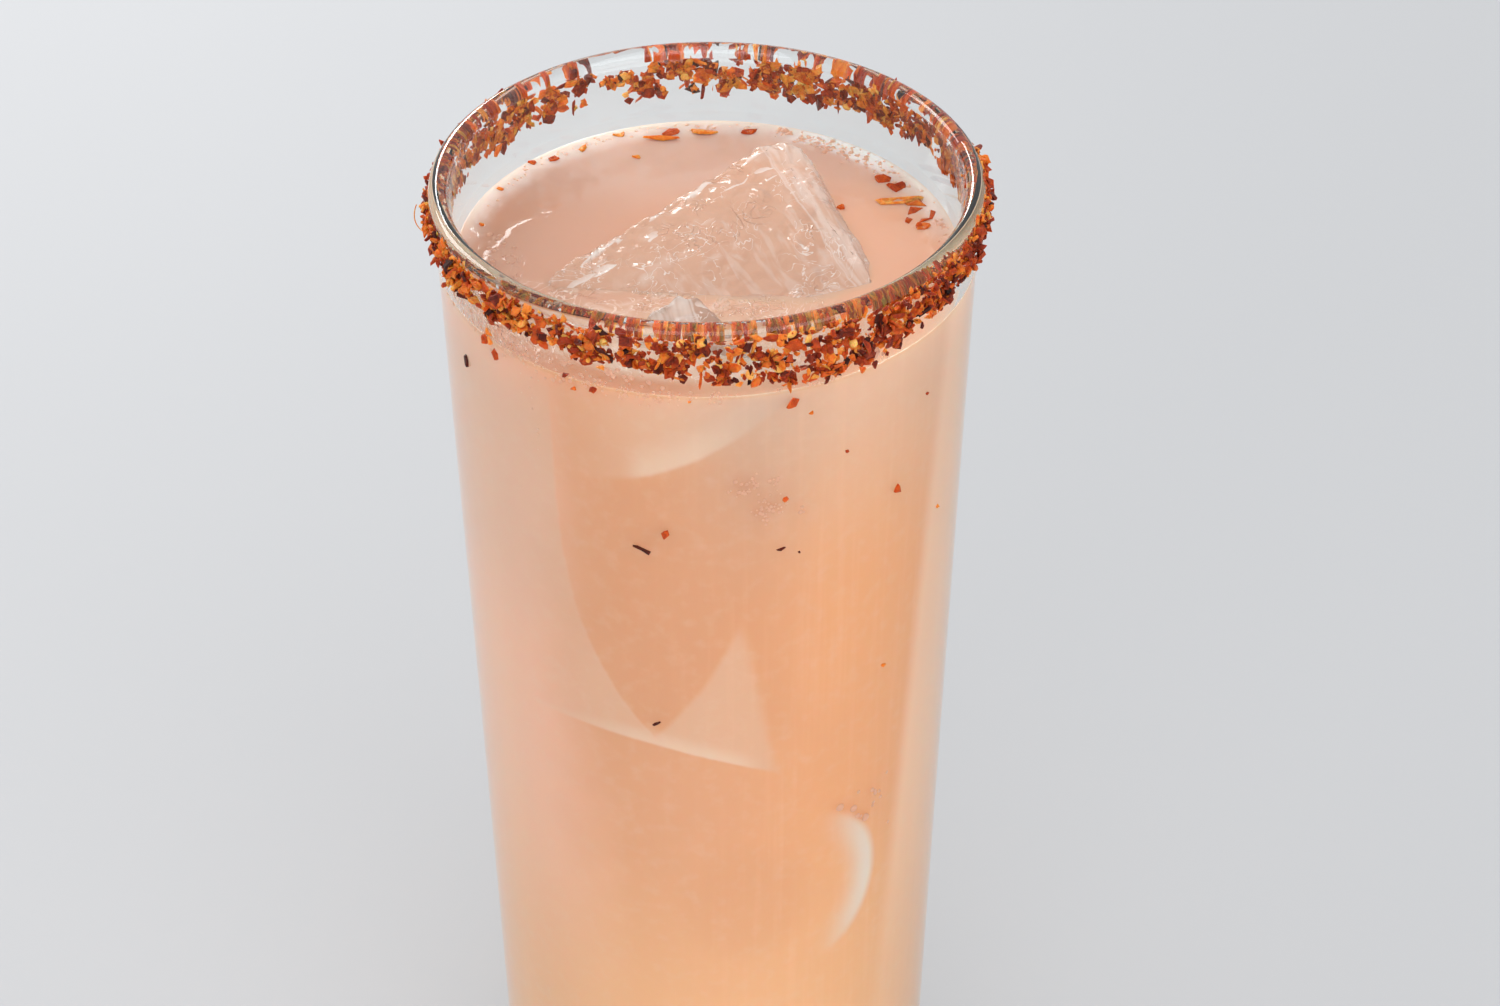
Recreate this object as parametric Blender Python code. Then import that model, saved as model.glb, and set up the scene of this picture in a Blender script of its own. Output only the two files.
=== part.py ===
"""A paloma in its tall tapered glass: cloudy drink, clear ice and a lip crusted with chilli flakes."""

import math
import random

import bmesh
import bpy
from mathutils import Euler, Matrix, Vector

MM = 0.001

# Driving dimensions, in millimetres. Depths are measured down from the crest of the lip.
HEIGHT = 165.0
LIP_OUTER_RADIUS = 33.0
LIP_THICKNESS = 2.3
WALL_THICKNESS = 2.2
WALL_RADIUS = 32.6
WALL_TAPER = 0.0248
WALL_EASE = 0.00002
LIP_BLEND_DEPTH = 3.4
FLOOR_HEIGHT = 10.0
FLOOR_CORNER = 6.0
FOOT_CORNER = 2.5
PUNT_RADIUS = 21.0
PUNT_DEPTH = 1.2

LEVEL_DEPTH = 10.5
MENISCUS_RISE = 0.4
MENISCUS_WIDTH = 1.3
CLEARANCE = 0.3

GLASS_SEGMENTS = 72
DRINK_SEGMENTS = 64

# The crust of flakes: its belt of small ones, then the large ones that show.
CRUST_REACH = 34.2
CRUST_TOP_DEPTH = 1.5
CRUST_LOW_DEPTH = 5.7
CRUST_WAVE = 0.4
CRUST_SAG = 2.5
CRUST_SAG_AZIMUTH = 18.0
CRUST_SAG_WIDTH = 30.0
CRUST_GAP_AZIMUTH = -145.0
CRUST_GAP_WIDTH = 20.0
CRUST_GAP_LOSS = 0.6
CRUST_STEPS = 100
CRUST_ROOT = 0.6
CRUST_THIN = 0.2
CRUST_THICK = 1.05
LIP_SEAT = 0.25

CHIP_SEED = 48
CHIP_COUNT = 124
CHIP_EMBED = 0.1
CHIP_TILT = 0.6
CHIP_LENGTHS = (2.0, 3.4)
CHIP_WIDTH_SHARES = (0.6, 0.95)
CHIP_THICKNESSES = (0.6, 0.95)
CHIP_CHAMFER = 0.86
CHIP_CRUMPLE = 0.08
GOLDEN_ANGLE = 137.508

FLOATING_THICKNESS = 0.6
FLOATING_LIFT = 0.12
FLOATING_WIDTH = 1.6

# Corners of the ice: x, y from the axis and height above the drink's level. The front is -Y.
LARGE_ICE_CORNERS = (
    (-21.0, -8.4, 0.7), (8.0, 15.2, 6.5), (11.0, 15.6, 5.6), (12.3, -12.4, 0.6),
    (20.8, -7.4, 0.6), (3.0, 19.0, -2.0), (15.5, 15.5, -3.0), (-9.0, 10.5, -7.0),
    (-20.0, -6.0, -13.0), (10.0, -11.0, -20.0), (18.5, -5.0, -18.0), (7.0, 17.5, -17.0),
)
SMALL_ICE_CORNERS = (
    (-2.2, -14.0, 3.9), (-8.8, -17.3, 0.4), (3.4, -18.0, 0.6), (-0.8, -19.0, 1.6), (-14.5, -23.5, -11.5),
    (-5.6, -27.3, -11.0), (3.5, -27.6, -6.0), (9.0, -26.2, -1.5), (-11.5, -14.0, -13.0), (5.0, -14.2, -10.0),
)
ICE_EDGE = 0.7
ICE_CUT_SPREAD = 0.42

# Each floating flake: azimuth in degrees from the front, positive to the right, distance from the axis, length.
FLOATING_FLAKES = (
    (-143.0, 27.0, 1.9), (-166.0, 27.6, 3.4), (-178.0, 27.4, 2.2), (169.0, 27.6, 1.9),
    (127.0, 26.9, 2.6), (118.0, 26.2, 5.2), (111.0, 27.0, 2.4), (122.0, 19.6, 1.6),
)


def wall_radius(depth: float) -> float:
    """Outside radius of the glass wall at a depth below the lip's crest."""
    return WALL_RADIUS - WALL_TAPER * depth + WALL_EASE * depth * depth


def bore_radius(depth: float) -> float:
    """Inside radius of the glass wall at a depth below the lip's crest."""
    return wall_radius(depth) - WALL_THICKNESS


def arc(centre: tuple, radius: float, start: float, end: float, steps: int) -> list:
    """Points (radius, height) along an arc, its angles in degrees from the outward direction."""
    points = []
    for step in range(steps + 1):
        angle = math.radians(start + (end - start) * step / steps)
        points.append((centre[0] + radius * math.cos(angle), centre[1] + radius * math.sin(angle)))
    return points


def clear_scene() -> None:
    """Remove whatever objects the file holds."""
    for item in list(bpy.data.objects):
        bpy.data.objects.remove(item, do_unlink=True)


def material(name: str, color: tuple, roughness: float, transmission: float = 0.0) -> bpy.types.Material:
    """A Principled material with the finish of one sub-part."""
    made = bpy.data.materials.new(name)
    made.use_nodes = True
    shader = made.node_tree.nodes["Principled BSDF"]
    shader.inputs["Base Color"].default_value = (*color, 1.0)
    shader.inputs["Roughness"].default_value = roughness
    shader.inputs["Metallic"].default_value = 0.0
    shader.inputs["Transmission Weight"].default_value = transmission
    return made


def new_object(
    name: str,
    bm: bmesh.types.BMesh,
    finish: bpy.types.Material | None = None,
    collection: bpy.types.Collection | None = None,
) -> bpy.types.Object:
    """Turn a bmesh in millimetres into an object in metres."""
    bmesh.ops.recalc_face_normals(bm, faces=bm.faces)
    bmesh.ops.scale(bm, vec=(MM, MM, MM), verts=bm.verts)
    mesh = bpy.data.meshes.new(name)
    bm.to_mesh(mesh)
    bm.free()
    made = bpy.data.objects.new(name, mesh)
    if finish:
        mesh.materials.append(finish)
    (collection or bpy.context.scene.collection).objects.link(made)
    return made


def turned(outline: list, segments: int) -> bmesh.types.BMesh:
    """A closed body of revolution about Z from an outline that starts and ends on the axis."""
    bm = bmesh.new()
    rings = []
    for radius, height in outline[1:-1]:
        rings.append([
            bm.verts.new((radius * math.sin(turn), -radius * math.cos(turn), height))
            for turn in (2 * math.pi * i / segments for i in range(segments))
        ])
    for lower, upper in zip(rings, rings[1:]):
        for i in range(segments):
            j = (i + 1) % segments
            bm.faces.new((lower[i], lower[j], upper[j], upper[i]))
    for end, ring in ((outline[0], rings[0]), (outline[-1], rings[-1])):
        pole = bm.verts.new((0.0, 0.0, end[1]))
        for i in range(segments):
            bm.faces.new((pole, ring[i], ring[(i + 1) % segments]))
    return bm


def glass_outline() -> list:
    """The glass's section: punt, foot, outer wall, rounded lip, inner wall and rounded floor."""
    foot_radius = wall_radius(HEIGHT)
    outline = [(0.0, PUNT_DEPTH), (PUNT_RADIUS * 0.6, PUNT_DEPTH * 0.8), (PUNT_RADIUS, 0.0)]
    outline += arc((foot_radius - FOOT_CORNER, FOOT_CORNER), FOOT_CORNER, -90, 0, 4)
    for depth in (110.0, 60.0, 18.0):
        outline.append((wall_radius(depth), HEIGHT - depth))
    outline.append((wall_radius(LIP_BLEND_DEPTH), HEIGHT - LIP_BLEND_DEPTH))
    half = LIP_THICKNESS / 2
    outline += arc((LIP_OUTER_RADIUS - half, HEIGHT - half), half, -28, 208, 10)
    outline.append((bore_radius(LIP_BLEND_DEPTH), HEIGHT - LIP_BLEND_DEPTH))
    for depth in (60.0, 110.0):
        outline.append((bore_radius(depth), HEIGHT - depth))
    corner_height = FLOOR_HEIGHT + FLOOR_CORNER
    corner_radius = bore_radius(HEIGHT - corner_height) - FLOOR_CORNER
    outline += arc((corner_radius, corner_height), FLOOR_CORNER, 0, -90, 4)
    outline.append((0.0, FLOOR_HEIGHT))
    return outline


def drink_outline() -> list:
    """The drink's section: rounded floor, side clear of the glass, meniscus and level."""
    corner_height = FLOOR_HEIGHT + FLOOR_CORNER
    corner_radius = bore_radius(HEIGHT - corner_height) - FLOOR_CORNER
    outline = [(0.0, FLOOR_HEIGHT + CLEARANCE)]
    outline += arc((corner_radius, corner_height), FLOOR_CORNER - CLEARANCE, -90, 0, 4)
    for depth in (110.0, 60.0):
        outline.append((bore_radius(depth) - CLEARANCE, HEIGHT - depth))
    level = HEIGHT - LEVEL_DEPTH
    edge = bore_radius(LEVEL_DEPTH) - CLEARANCE
    outline.append((edge, level + MENISCUS_RISE))
    outline.append((edge - MENISCUS_WIDTH * 0.35, level + MENISCUS_RISE * 0.35))
    outline.append((edge - MENISCUS_WIDTH, level))
    outline.append((0.0, level))
    return outline


def hull_of(corners: tuple, spread: float = 0.0) -> bmesh.types.BMesh:
    """A lump of ice: the hull of its corners with softened edges, optionally grown by a spread."""
    bm = bmesh.new()
    for x, y, above in corners:
        bm.verts.new((x, y, HEIGHT - LEVEL_DEPTH + above))
    hull = bmesh.ops.convex_hull(bm, input=bm.verts)
    loose = [item for item in hull["geom_interior"] if isinstance(item, bmesh.types.BMVert)]
    bmesh.ops.delete(bm, geom=loose, context="VERTS")
    bmesh.ops.dissolve_limit(bm, angle_limit=math.radians(4), verts=bm.verts, edges=bm.edges)
    bmesh.ops.bevel(bm, geom=list(bm.edges), offset=ICE_EDGE, segments=2, profile=0.5, affect="EDGES")
    bmesh.ops.triangulate(bm, faces=bm.faces)
    bmesh.ops.recalc_face_normals(bm, faces=bm.faces)
    if spread:
        bm.normal_update()
        moved = [(vert, vert.co + vert.normal * spread) for vert in bm.verts]
        for vert, place in moved:
            vert.co = place
    return bm


def chip(draw: random.Random, length: float, width: float, thickness: float) -> bmesh.types.BMesh:
    """A thin angular flake in its own XY plane."""
    bm = bmesh.new()
    sides = draw.choice((4, 5, 5, 6))
    start = draw.uniform(0, 2 * math.pi)
    rim = []
    for i in range(sides):
        turn = start + 2 * math.pi * (i + draw.uniform(-0.25, 0.25)) / sides
        reach = draw.uniform(0.8, 1.1)
        rim.append((reach * length / 2 * math.cos(turn), reach * width / 2 * math.sin(turn)))
    lower = [bm.verts.new((x, y, -thickness / 2)) for x, y in rim]
    upper = []
    for x, y in rim:
        crumple = draw.uniform(-CHIP_CRUMPLE, CHIP_CRUMPLE)
        upper.append(bm.verts.new((x * CHIP_CHAMFER, y * CHIP_CHAMFER, thickness / 2 + crumple)))
    bm.faces.new(lower[::-1])
    bm.faces.new(upper)
    for i in range(sides):
        j = (i + 1) % sides
        bm.faces.new((lower[i], lower[j], upper[j], upper[i]))
    bmesh.ops.triangulate(bm, faces=bm.faces)
    return bm


def crust_bottom(azimuth: float) -> float:
    """How deep the band of flakes hangs at an azimuth, in degrees from the front."""
    apart = (azimuth - CRUST_SAG_AZIMUTH) / CRUST_SAG_WIDTH
    wave = CRUST_WAVE * math.sin(math.radians(azimuth * 7))
    return CRUST_LOW_DEPTH + CRUST_SAG * math.exp(-apart * apart) + wave


def crust_share(azimuth: float) -> float:
    """The share of flakes that cling at an azimuth: the band is thin at the back left."""
    apart = (azimuth - CRUST_GAP_AZIMUTH) / CRUST_GAP_WIDTH
    return 1.0 - CRUST_GAP_LOSS * math.exp(-apart * apart)


def crust_seat(depth: float) -> float:
    """Radius of the glass surface that the crust clings to: the lip's side, then the wall."""
    return wall_radius(depth) if depth > LIP_BLEND_DEPTH else LIP_OUTER_RADIUS - LIP_SEAT


def crust_core(collection: bpy.types.Collection) -> None:
    """The lumpy belt of small flakes under the large ones, rooted in the wall, thin at the back left."""
    draw = random.Random(CHIP_SEED - 1)
    bm = bmesh.new()
    sections = []
    for step in range(CRUST_STEPS):
        azimuth = 360.0 * step / CRUST_STEPS - 180.0
        turn = math.radians(azimuth + draw.uniform(-0.25, 0.25) * 360.0 / CRUST_STEPS)
        cover = crust_share(azimuth)
        top = CRUST_TOP_DEPTH + draw.uniform(0.4, 1.3)
        low = top + (crust_bottom(azimuth) - top) * draw.uniform(0.72, 1.0) * (0.45 + 0.55 * cover)
        bulk = CRUST_THIN + (CRUST_THICK - CRUST_THIN) * cover
        places = [(-CRUST_ROOT, top + 0.3), (CRUST_THIN * draw.random(), top)]
        places += [(bulk * draw.uniform(0.25, 1.0), top + (low - top) * share) for share in (0.25, 0.7)]
        places += [(CRUST_THIN * draw.random(), low), (-CRUST_ROOT, low - 0.3)]
        ring = []
        for proud, depth in places:
            radius = crust_seat(depth) + proud
            ring.append(bm.verts.new((radius * math.sin(turn), -radius * math.cos(turn), HEIGHT - depth)))
        sections.append(ring)
    for here, after in zip(sections, sections[1:] + sections[:1]):
        for i in range(len(here)):
            j = (i + 1) % len(here)
            bm.faces.new((here[i], here[j], after[j], after[i]))
    bmesh.ops.triangulate(bm, faces=bm.faces)
    new_object("crust core", bm, None, collection)


def rim_chips(collection: bpy.types.Collection) -> None:
    """Spread the largest flakes evenly round the outside of the lip, sunk a little into the glass."""
    draw = random.Random(CHIP_SEED)
    placed = 0
    step = 0
    while placed < CHIP_COUNT:
        step += 1
        azimuth = (step * GOLDEN_ANGLE) % 360.0 - 180.0
        keep = draw.random()
        share = draw.random()
        length = draw.uniform(*CHIP_LENGTHS)
        width = length * draw.uniform(*CHIP_WIDTH_SHARES)
        thickness = draw.uniform(*CHIP_THICKNESSES)
        lean = draw.uniform(-CHIP_TILT, CHIP_TILT)
        nod = draw.uniform(-CHIP_TILT, CHIP_TILT)
        tilt = Euler((lean, nod, draw.uniform(0, math.pi)))
        flake = chip(draw, length, width, thickness)
        if keep > crust_share(azimuth):
            flake.free()
            continue
        top = CRUST_TOP_DEPTH + length * 0.3
        depth = top + (crust_bottom(azimuth) - top) * share
        bed = crust_seat(depth) + CRUST_THICK / 2 * crust_share(azimuth)
        place_chip(flake, tilt, azimuth, bed + thickness / 2 - CHIP_EMBED, depth)
        new_object("chip", flake, None, collection)
        placed += 1


def place_chip(flake: bmesh.types.BMesh, tilt: Euler, azimuth: float, radius: float, depth: float) -> None:
    """Lay a flake on the wall at an azimuth and depth, tilted, and keep it within the crust's reach."""
    turn = math.radians(azimuth)
    outward = Vector((math.sin(turn), -math.cos(turn), 0.0))
    along = Vector((math.cos(turn), math.sin(turn), 0.0))
    face = Matrix((along, Vector((0.0, 0.0, 1.0)), outward)).transposed()
    centre = outward * radius + Vector((0.0, 0.0, HEIGHT - depth))
    for vert in flake.verts:
        vert.co = centre + face @ (tilt.to_matrix() @ vert.co)
        reach = math.hypot(vert.co.x, vert.co.y)
        if reach > CRUST_REACH:
            vert.co.x *= CRUST_REACH / reach
            vert.co.y *= CRUST_REACH / reach


def floating_chips(collection: bpy.types.Collection) -> None:
    """Lay the larger floating flakes on the drink."""
    draw = random.Random(CHIP_SEED + 1)
    for azimuth, radius, length in FLOATING_FLAKES:
        flake = chip(draw, length, min(length * 0.6, FLOATING_WIDTH), FLOATING_THICKNESS)
        turn = math.radians(azimuth)
        spin = Matrix.Rotation(turn, 3, "Z")
        height = HEIGHT - LEVEL_DEPTH + FLOATING_LIFT
        centre = Vector((radius * math.sin(turn), -radius * math.cos(turn), height))
        for vert in flake.verts:
            vert.co = centre + spin @ vert.co
        new_object("floating_chip", flake, None, collection)


def join_all(target: bpy.types.Object, collection: bpy.types.Collection) -> None:
    """Fuse a collection's pieces to a body with one Boolean union, then remove them."""
    union = target.modifiers.new("fused pieces", "BOOLEAN")
    union.operation = "UNION"
    union.operand_type = "COLLECTION"
    union.collection = collection
    union.solver = "EXACT"
    bpy.context.view_layer.objects.active = target
    bpy.ops.object.modifier_apply(modifier=union.name)
    for item in list(collection.objects):
        bpy.data.objects.remove(item, do_unlink=True)
    bpy.data.collections.remove(collection)
    keep_main_body(target)


def keep_main_body(target: bpy.types.Object) -> None:
    """Fill the small hollows that flakes seal and drop loose scraps: only the largest shell stays."""
    bm = bmesh.new()
    bm.from_mesh(target.data)
    unseen = set(bm.faces)
    shells = []
    while unseen:
        shell = [unseen.pop()]
        for face in shell:
            for edge in face.edges:
                for other in edge.link_faces:
                    if other in unseen:
                        unseen.remove(other)
                        shell.append(other)
        shells.append(shell)
    shells.sort(key=len)
    for shell in shells[:-1]:
        bmesh.ops.delete(bm, geom=shell, context="FACES")
    loose = [vert for vert in bm.verts if not vert.link_faces]
    bmesh.ops.delete(bm, geom=loose, context="VERTS")
    bm.to_mesh(target.data)
    bm.free()


def smooth(target: bpy.types.Object, sharp_degrees: float) -> None:
    """Shade a body smooth and keep its real edges crisp."""
    target.data.shade_smooth()
    target.data.set_sharp_from_angle(angle=math.radians(sharp_degrees))


def gathered(name: str) -> bpy.types.Collection:
    """A collection for loose pieces that a union will take up."""
    made = bpy.data.collections.new(name)
    bpy.context.scene.collection.children.link(made)
    return made


def build_glass() -> bpy.types.Object:
    """The tapered glass with its crust of flakes."""
    finish = material("clear glass", (0.93, 0.95, 0.94), 0.02, 1.0)
    glass = new_object("glass", turned(glass_outline(), GLASS_SEGMENTS), finish)
    chips = gathered("rim flakes")
    crust_core(chips)
    rim_chips(chips)
    join_all(glass, chips)
    smooth(glass, 35)
    return glass


def build_ice() -> list:
    """The two lumps of ice that break the surface."""
    finish = material("clear ice", (0.94, 0.90, 0.87), 0.06, 0.9)
    lumps = []
    for name, corners in (("ice_large", LARGE_ICE_CORNERS), ("ice_small", SMALL_ICE_CORNERS)):
        lump = new_object(name, hull_of(corners), finish)
        smooth(lump, 30)
        lumps.append(lump)
    return lumps


def build_drink() -> bpy.types.Object:
    """The drink up to its level, cut round the ice, with the floating flakes on it."""
    finish = material("cloudy pink drink", (0.77, 0.49, 0.33), 0.15)
    drink = new_object("drink", turned(drink_outline(), DRINK_SEGMENTS), finish)
    chips = gathered("floating flakes")
    floating_chips(chips)
    join_all(drink, chips)
    for corners in (LARGE_ICE_CORNERS, SMALL_ICE_CORNERS):
        cutter = new_object("ice hollow", hull_of(corners, ICE_CUT_SPREAD))
        cutter.hide_render = True
        cutter.display_type = "WIRE"
        cut = drink.modifiers.new("hollow round the ice", "BOOLEAN")
        cut.operation = "DIFFERENCE"
        cut.object = cutter
        cut.solver = "EXACT"
        bpy.context.view_layer.objects.active = drink
        bpy.ops.object.modifier_apply(modifier=cut.name)
        bpy.data.objects.remove(cutter, do_unlink=True)
    smooth(drink, 35)
    return drink


def main() -> None:
    """Build the glass, the drink and the ice in an empty scene."""
    clear_scene()
    build_glass()
    build_drink()
    build_ice()


main()
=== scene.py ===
"""Looks of a paloma: clear glass, cloudy pink drink, wet ice and a lip crusted with chilli flakes."""

import logging
import math
import random
from dataclasses import dataclass, field
from enum import Enum
from typing import Callable, Sequence

import bmesh
import bpy
from mathutils import Euler, Matrix, Vector, noise


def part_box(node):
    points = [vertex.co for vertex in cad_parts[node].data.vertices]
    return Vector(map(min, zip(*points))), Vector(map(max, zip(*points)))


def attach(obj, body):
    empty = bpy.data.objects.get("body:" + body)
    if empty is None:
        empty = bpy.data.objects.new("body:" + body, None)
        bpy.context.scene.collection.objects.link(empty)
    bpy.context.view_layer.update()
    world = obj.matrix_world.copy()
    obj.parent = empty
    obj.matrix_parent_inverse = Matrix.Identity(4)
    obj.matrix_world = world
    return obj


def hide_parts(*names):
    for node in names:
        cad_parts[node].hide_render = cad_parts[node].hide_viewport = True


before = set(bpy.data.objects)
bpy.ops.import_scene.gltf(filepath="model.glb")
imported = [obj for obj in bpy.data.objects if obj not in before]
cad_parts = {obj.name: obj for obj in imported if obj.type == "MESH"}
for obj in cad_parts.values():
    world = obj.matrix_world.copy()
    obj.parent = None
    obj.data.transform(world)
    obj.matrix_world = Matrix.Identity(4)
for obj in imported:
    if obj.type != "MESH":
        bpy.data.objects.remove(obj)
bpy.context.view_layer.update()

MM = 0.001
BODY = "root"
LEVEL_DEPTH = 10.5
NOISE_MIDDLE = 0.5

Colour = tuple[float, float, float]
Point = tuple[float, float, float]
Pair = tuple[float, float]
Span = tuple[float, float]
Shape = tuple[list[Point], list[tuple[int, ...]]]
Placer = Callable[[Vector], Vector]

log = logging.getLogger("paloma")


def paint(red: int, green: int, blue: int) -> Colour:
    """Turn a screen colour into the linear colour that shaders use.

    Args:
        red: Screen red, 0 to 255.
        green: Screen green, 0 to 255.
        blue: Screen blue, 0 to 255.

    Returns:
        The linear red, green and blue.
    """
    linear = []
    for level in (red, green, blue):
        share = level / 255
        linear.append(share / 12.92 if share <= 0.04045 else ((share + 0.055) / 1.055) ** 2.4)
    return tuple(linear)


def blend_number(low: float, high: float, share: float) -> float:
    """Step from one number towards another by a share of the way."""
    return low + (high - low) * share


class Wire:
    """A value socket that takes part in Python arithmetic: each operator adds a Math node."""

    def __init__(self, board: "Board", socket: bpy.types.NodeSocket) -> None:
        """Wrap an output socket of one board."""
        self.board = board
        self.socket = socket

    def math(self, operation: str, *others: "Wire | float") -> "Wire":
        """Apply a Math operation to this value and others.

        Args:
            operation: The Math node's operation.
            others: The values that follow this one.

        Returns:
            The result as a new wire.
        """
        return self.board.calculate(operation, self, *others)

    def __add__(self, other: "Wire | float") -> "Wire":
        """Sum."""
        return self.math("ADD", other)

    __radd__ = __add__

    def __mul__(self, other: "Wire | float") -> "Wire":
        """Product."""
        return self.math("MULTIPLY", other)

    __rmul__ = __mul__

    def __sub__(self, other: "Wire | float") -> "Wire":
        """Difference."""
        return self.math("SUBTRACT", other)

    def __rsub__(self, other: float) -> "Wire":
        """Difference from a number."""
        return self.board.calculate("SUBTRACT", other, self)

    def __truediv__(self, other: "Wire | float") -> "Wire":
        """Quotient."""
        return self.math("DIVIDE", other)

    def __pow__(self, other: "Wire | float") -> "Wire":
        """Power."""
        return self.math("POWER", other)

    def highest(self, *others: "Wire | float") -> "Wire":
        """The largest of this value and others."""
        result = self
        for other in others:
            result = result.math("MAXIMUM", other)
        return result

    def ease(self, start: float, end: float) -> "Wire":
        """Rise smoothly from 0 at start to 1 at end, or fall where end is below start.

        Args:
            start: The value that gives 0.
            end: The value that gives 1.

        Returns:
            A share from 0 to 1.
        """
        low, high, floor, ceiling = (start, end, 0.0, 1.0) if start < end else (end, start, 1.0, 0.0)
        settings = {"interpolation_type": "SMOOTHSTEP"}
        links = {"Value": self, "From Min": low, "From Max": high, "To Min": floor, "To Max": ceiling}
        return Wire(self.board, self.board.add("ShaderNodeMapRange", settings, links).outputs["Result"])

    def bell(self, centre: float, width: float) -> "Wire":
        """Peak at 1 where this value equals a centre, and fall off on both sides.

        Args:
            centre: Where the peak stands.
            width: How far from it the value falls to 0.

        Returns:
            A share from 0 to 1.
        """
        return (self - centre).math("ABSOLUTE").ease(width, 0.0)


@dataclass(frozen=True)
class Grain:
    """Smooth noise: its waves for each unit, its octaves of finer noise and its distortion."""

    scale: float
    detail: float = 2.0
    wobble: float = 0.0


@dataclass(frozen=True)
class Place:
    """The point on the piece in millimetres: as a vector, and its way across (X), along (Y) and up (Z)."""

    vector: bpy.types.NodeSocket
    across: Wire
    along: Wire
    height: Wire

    def azimuth(self) -> Wire:
        """Degrees round the glass from its front, positive to the right."""
        return self.across.math("ARCTAN2", self.along * -1.0) * math.degrees(1.0)

    def radius(self) -> Wire:
        """Distance from the glass's axis."""
        return (self.across * self.across + self.along * self.along).math("SQRT")

    def beside(self, turn: float) -> Wire:
        """Distance in plan to one side of a line through the axis.

        Args:
            turn: The line's direction in degrees from X.

        Returns:
            The distance in millimetres.
        """
        angle = math.radians(turn)
        return self.across * math.sin(angle) - self.along * math.cos(angle)


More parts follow.
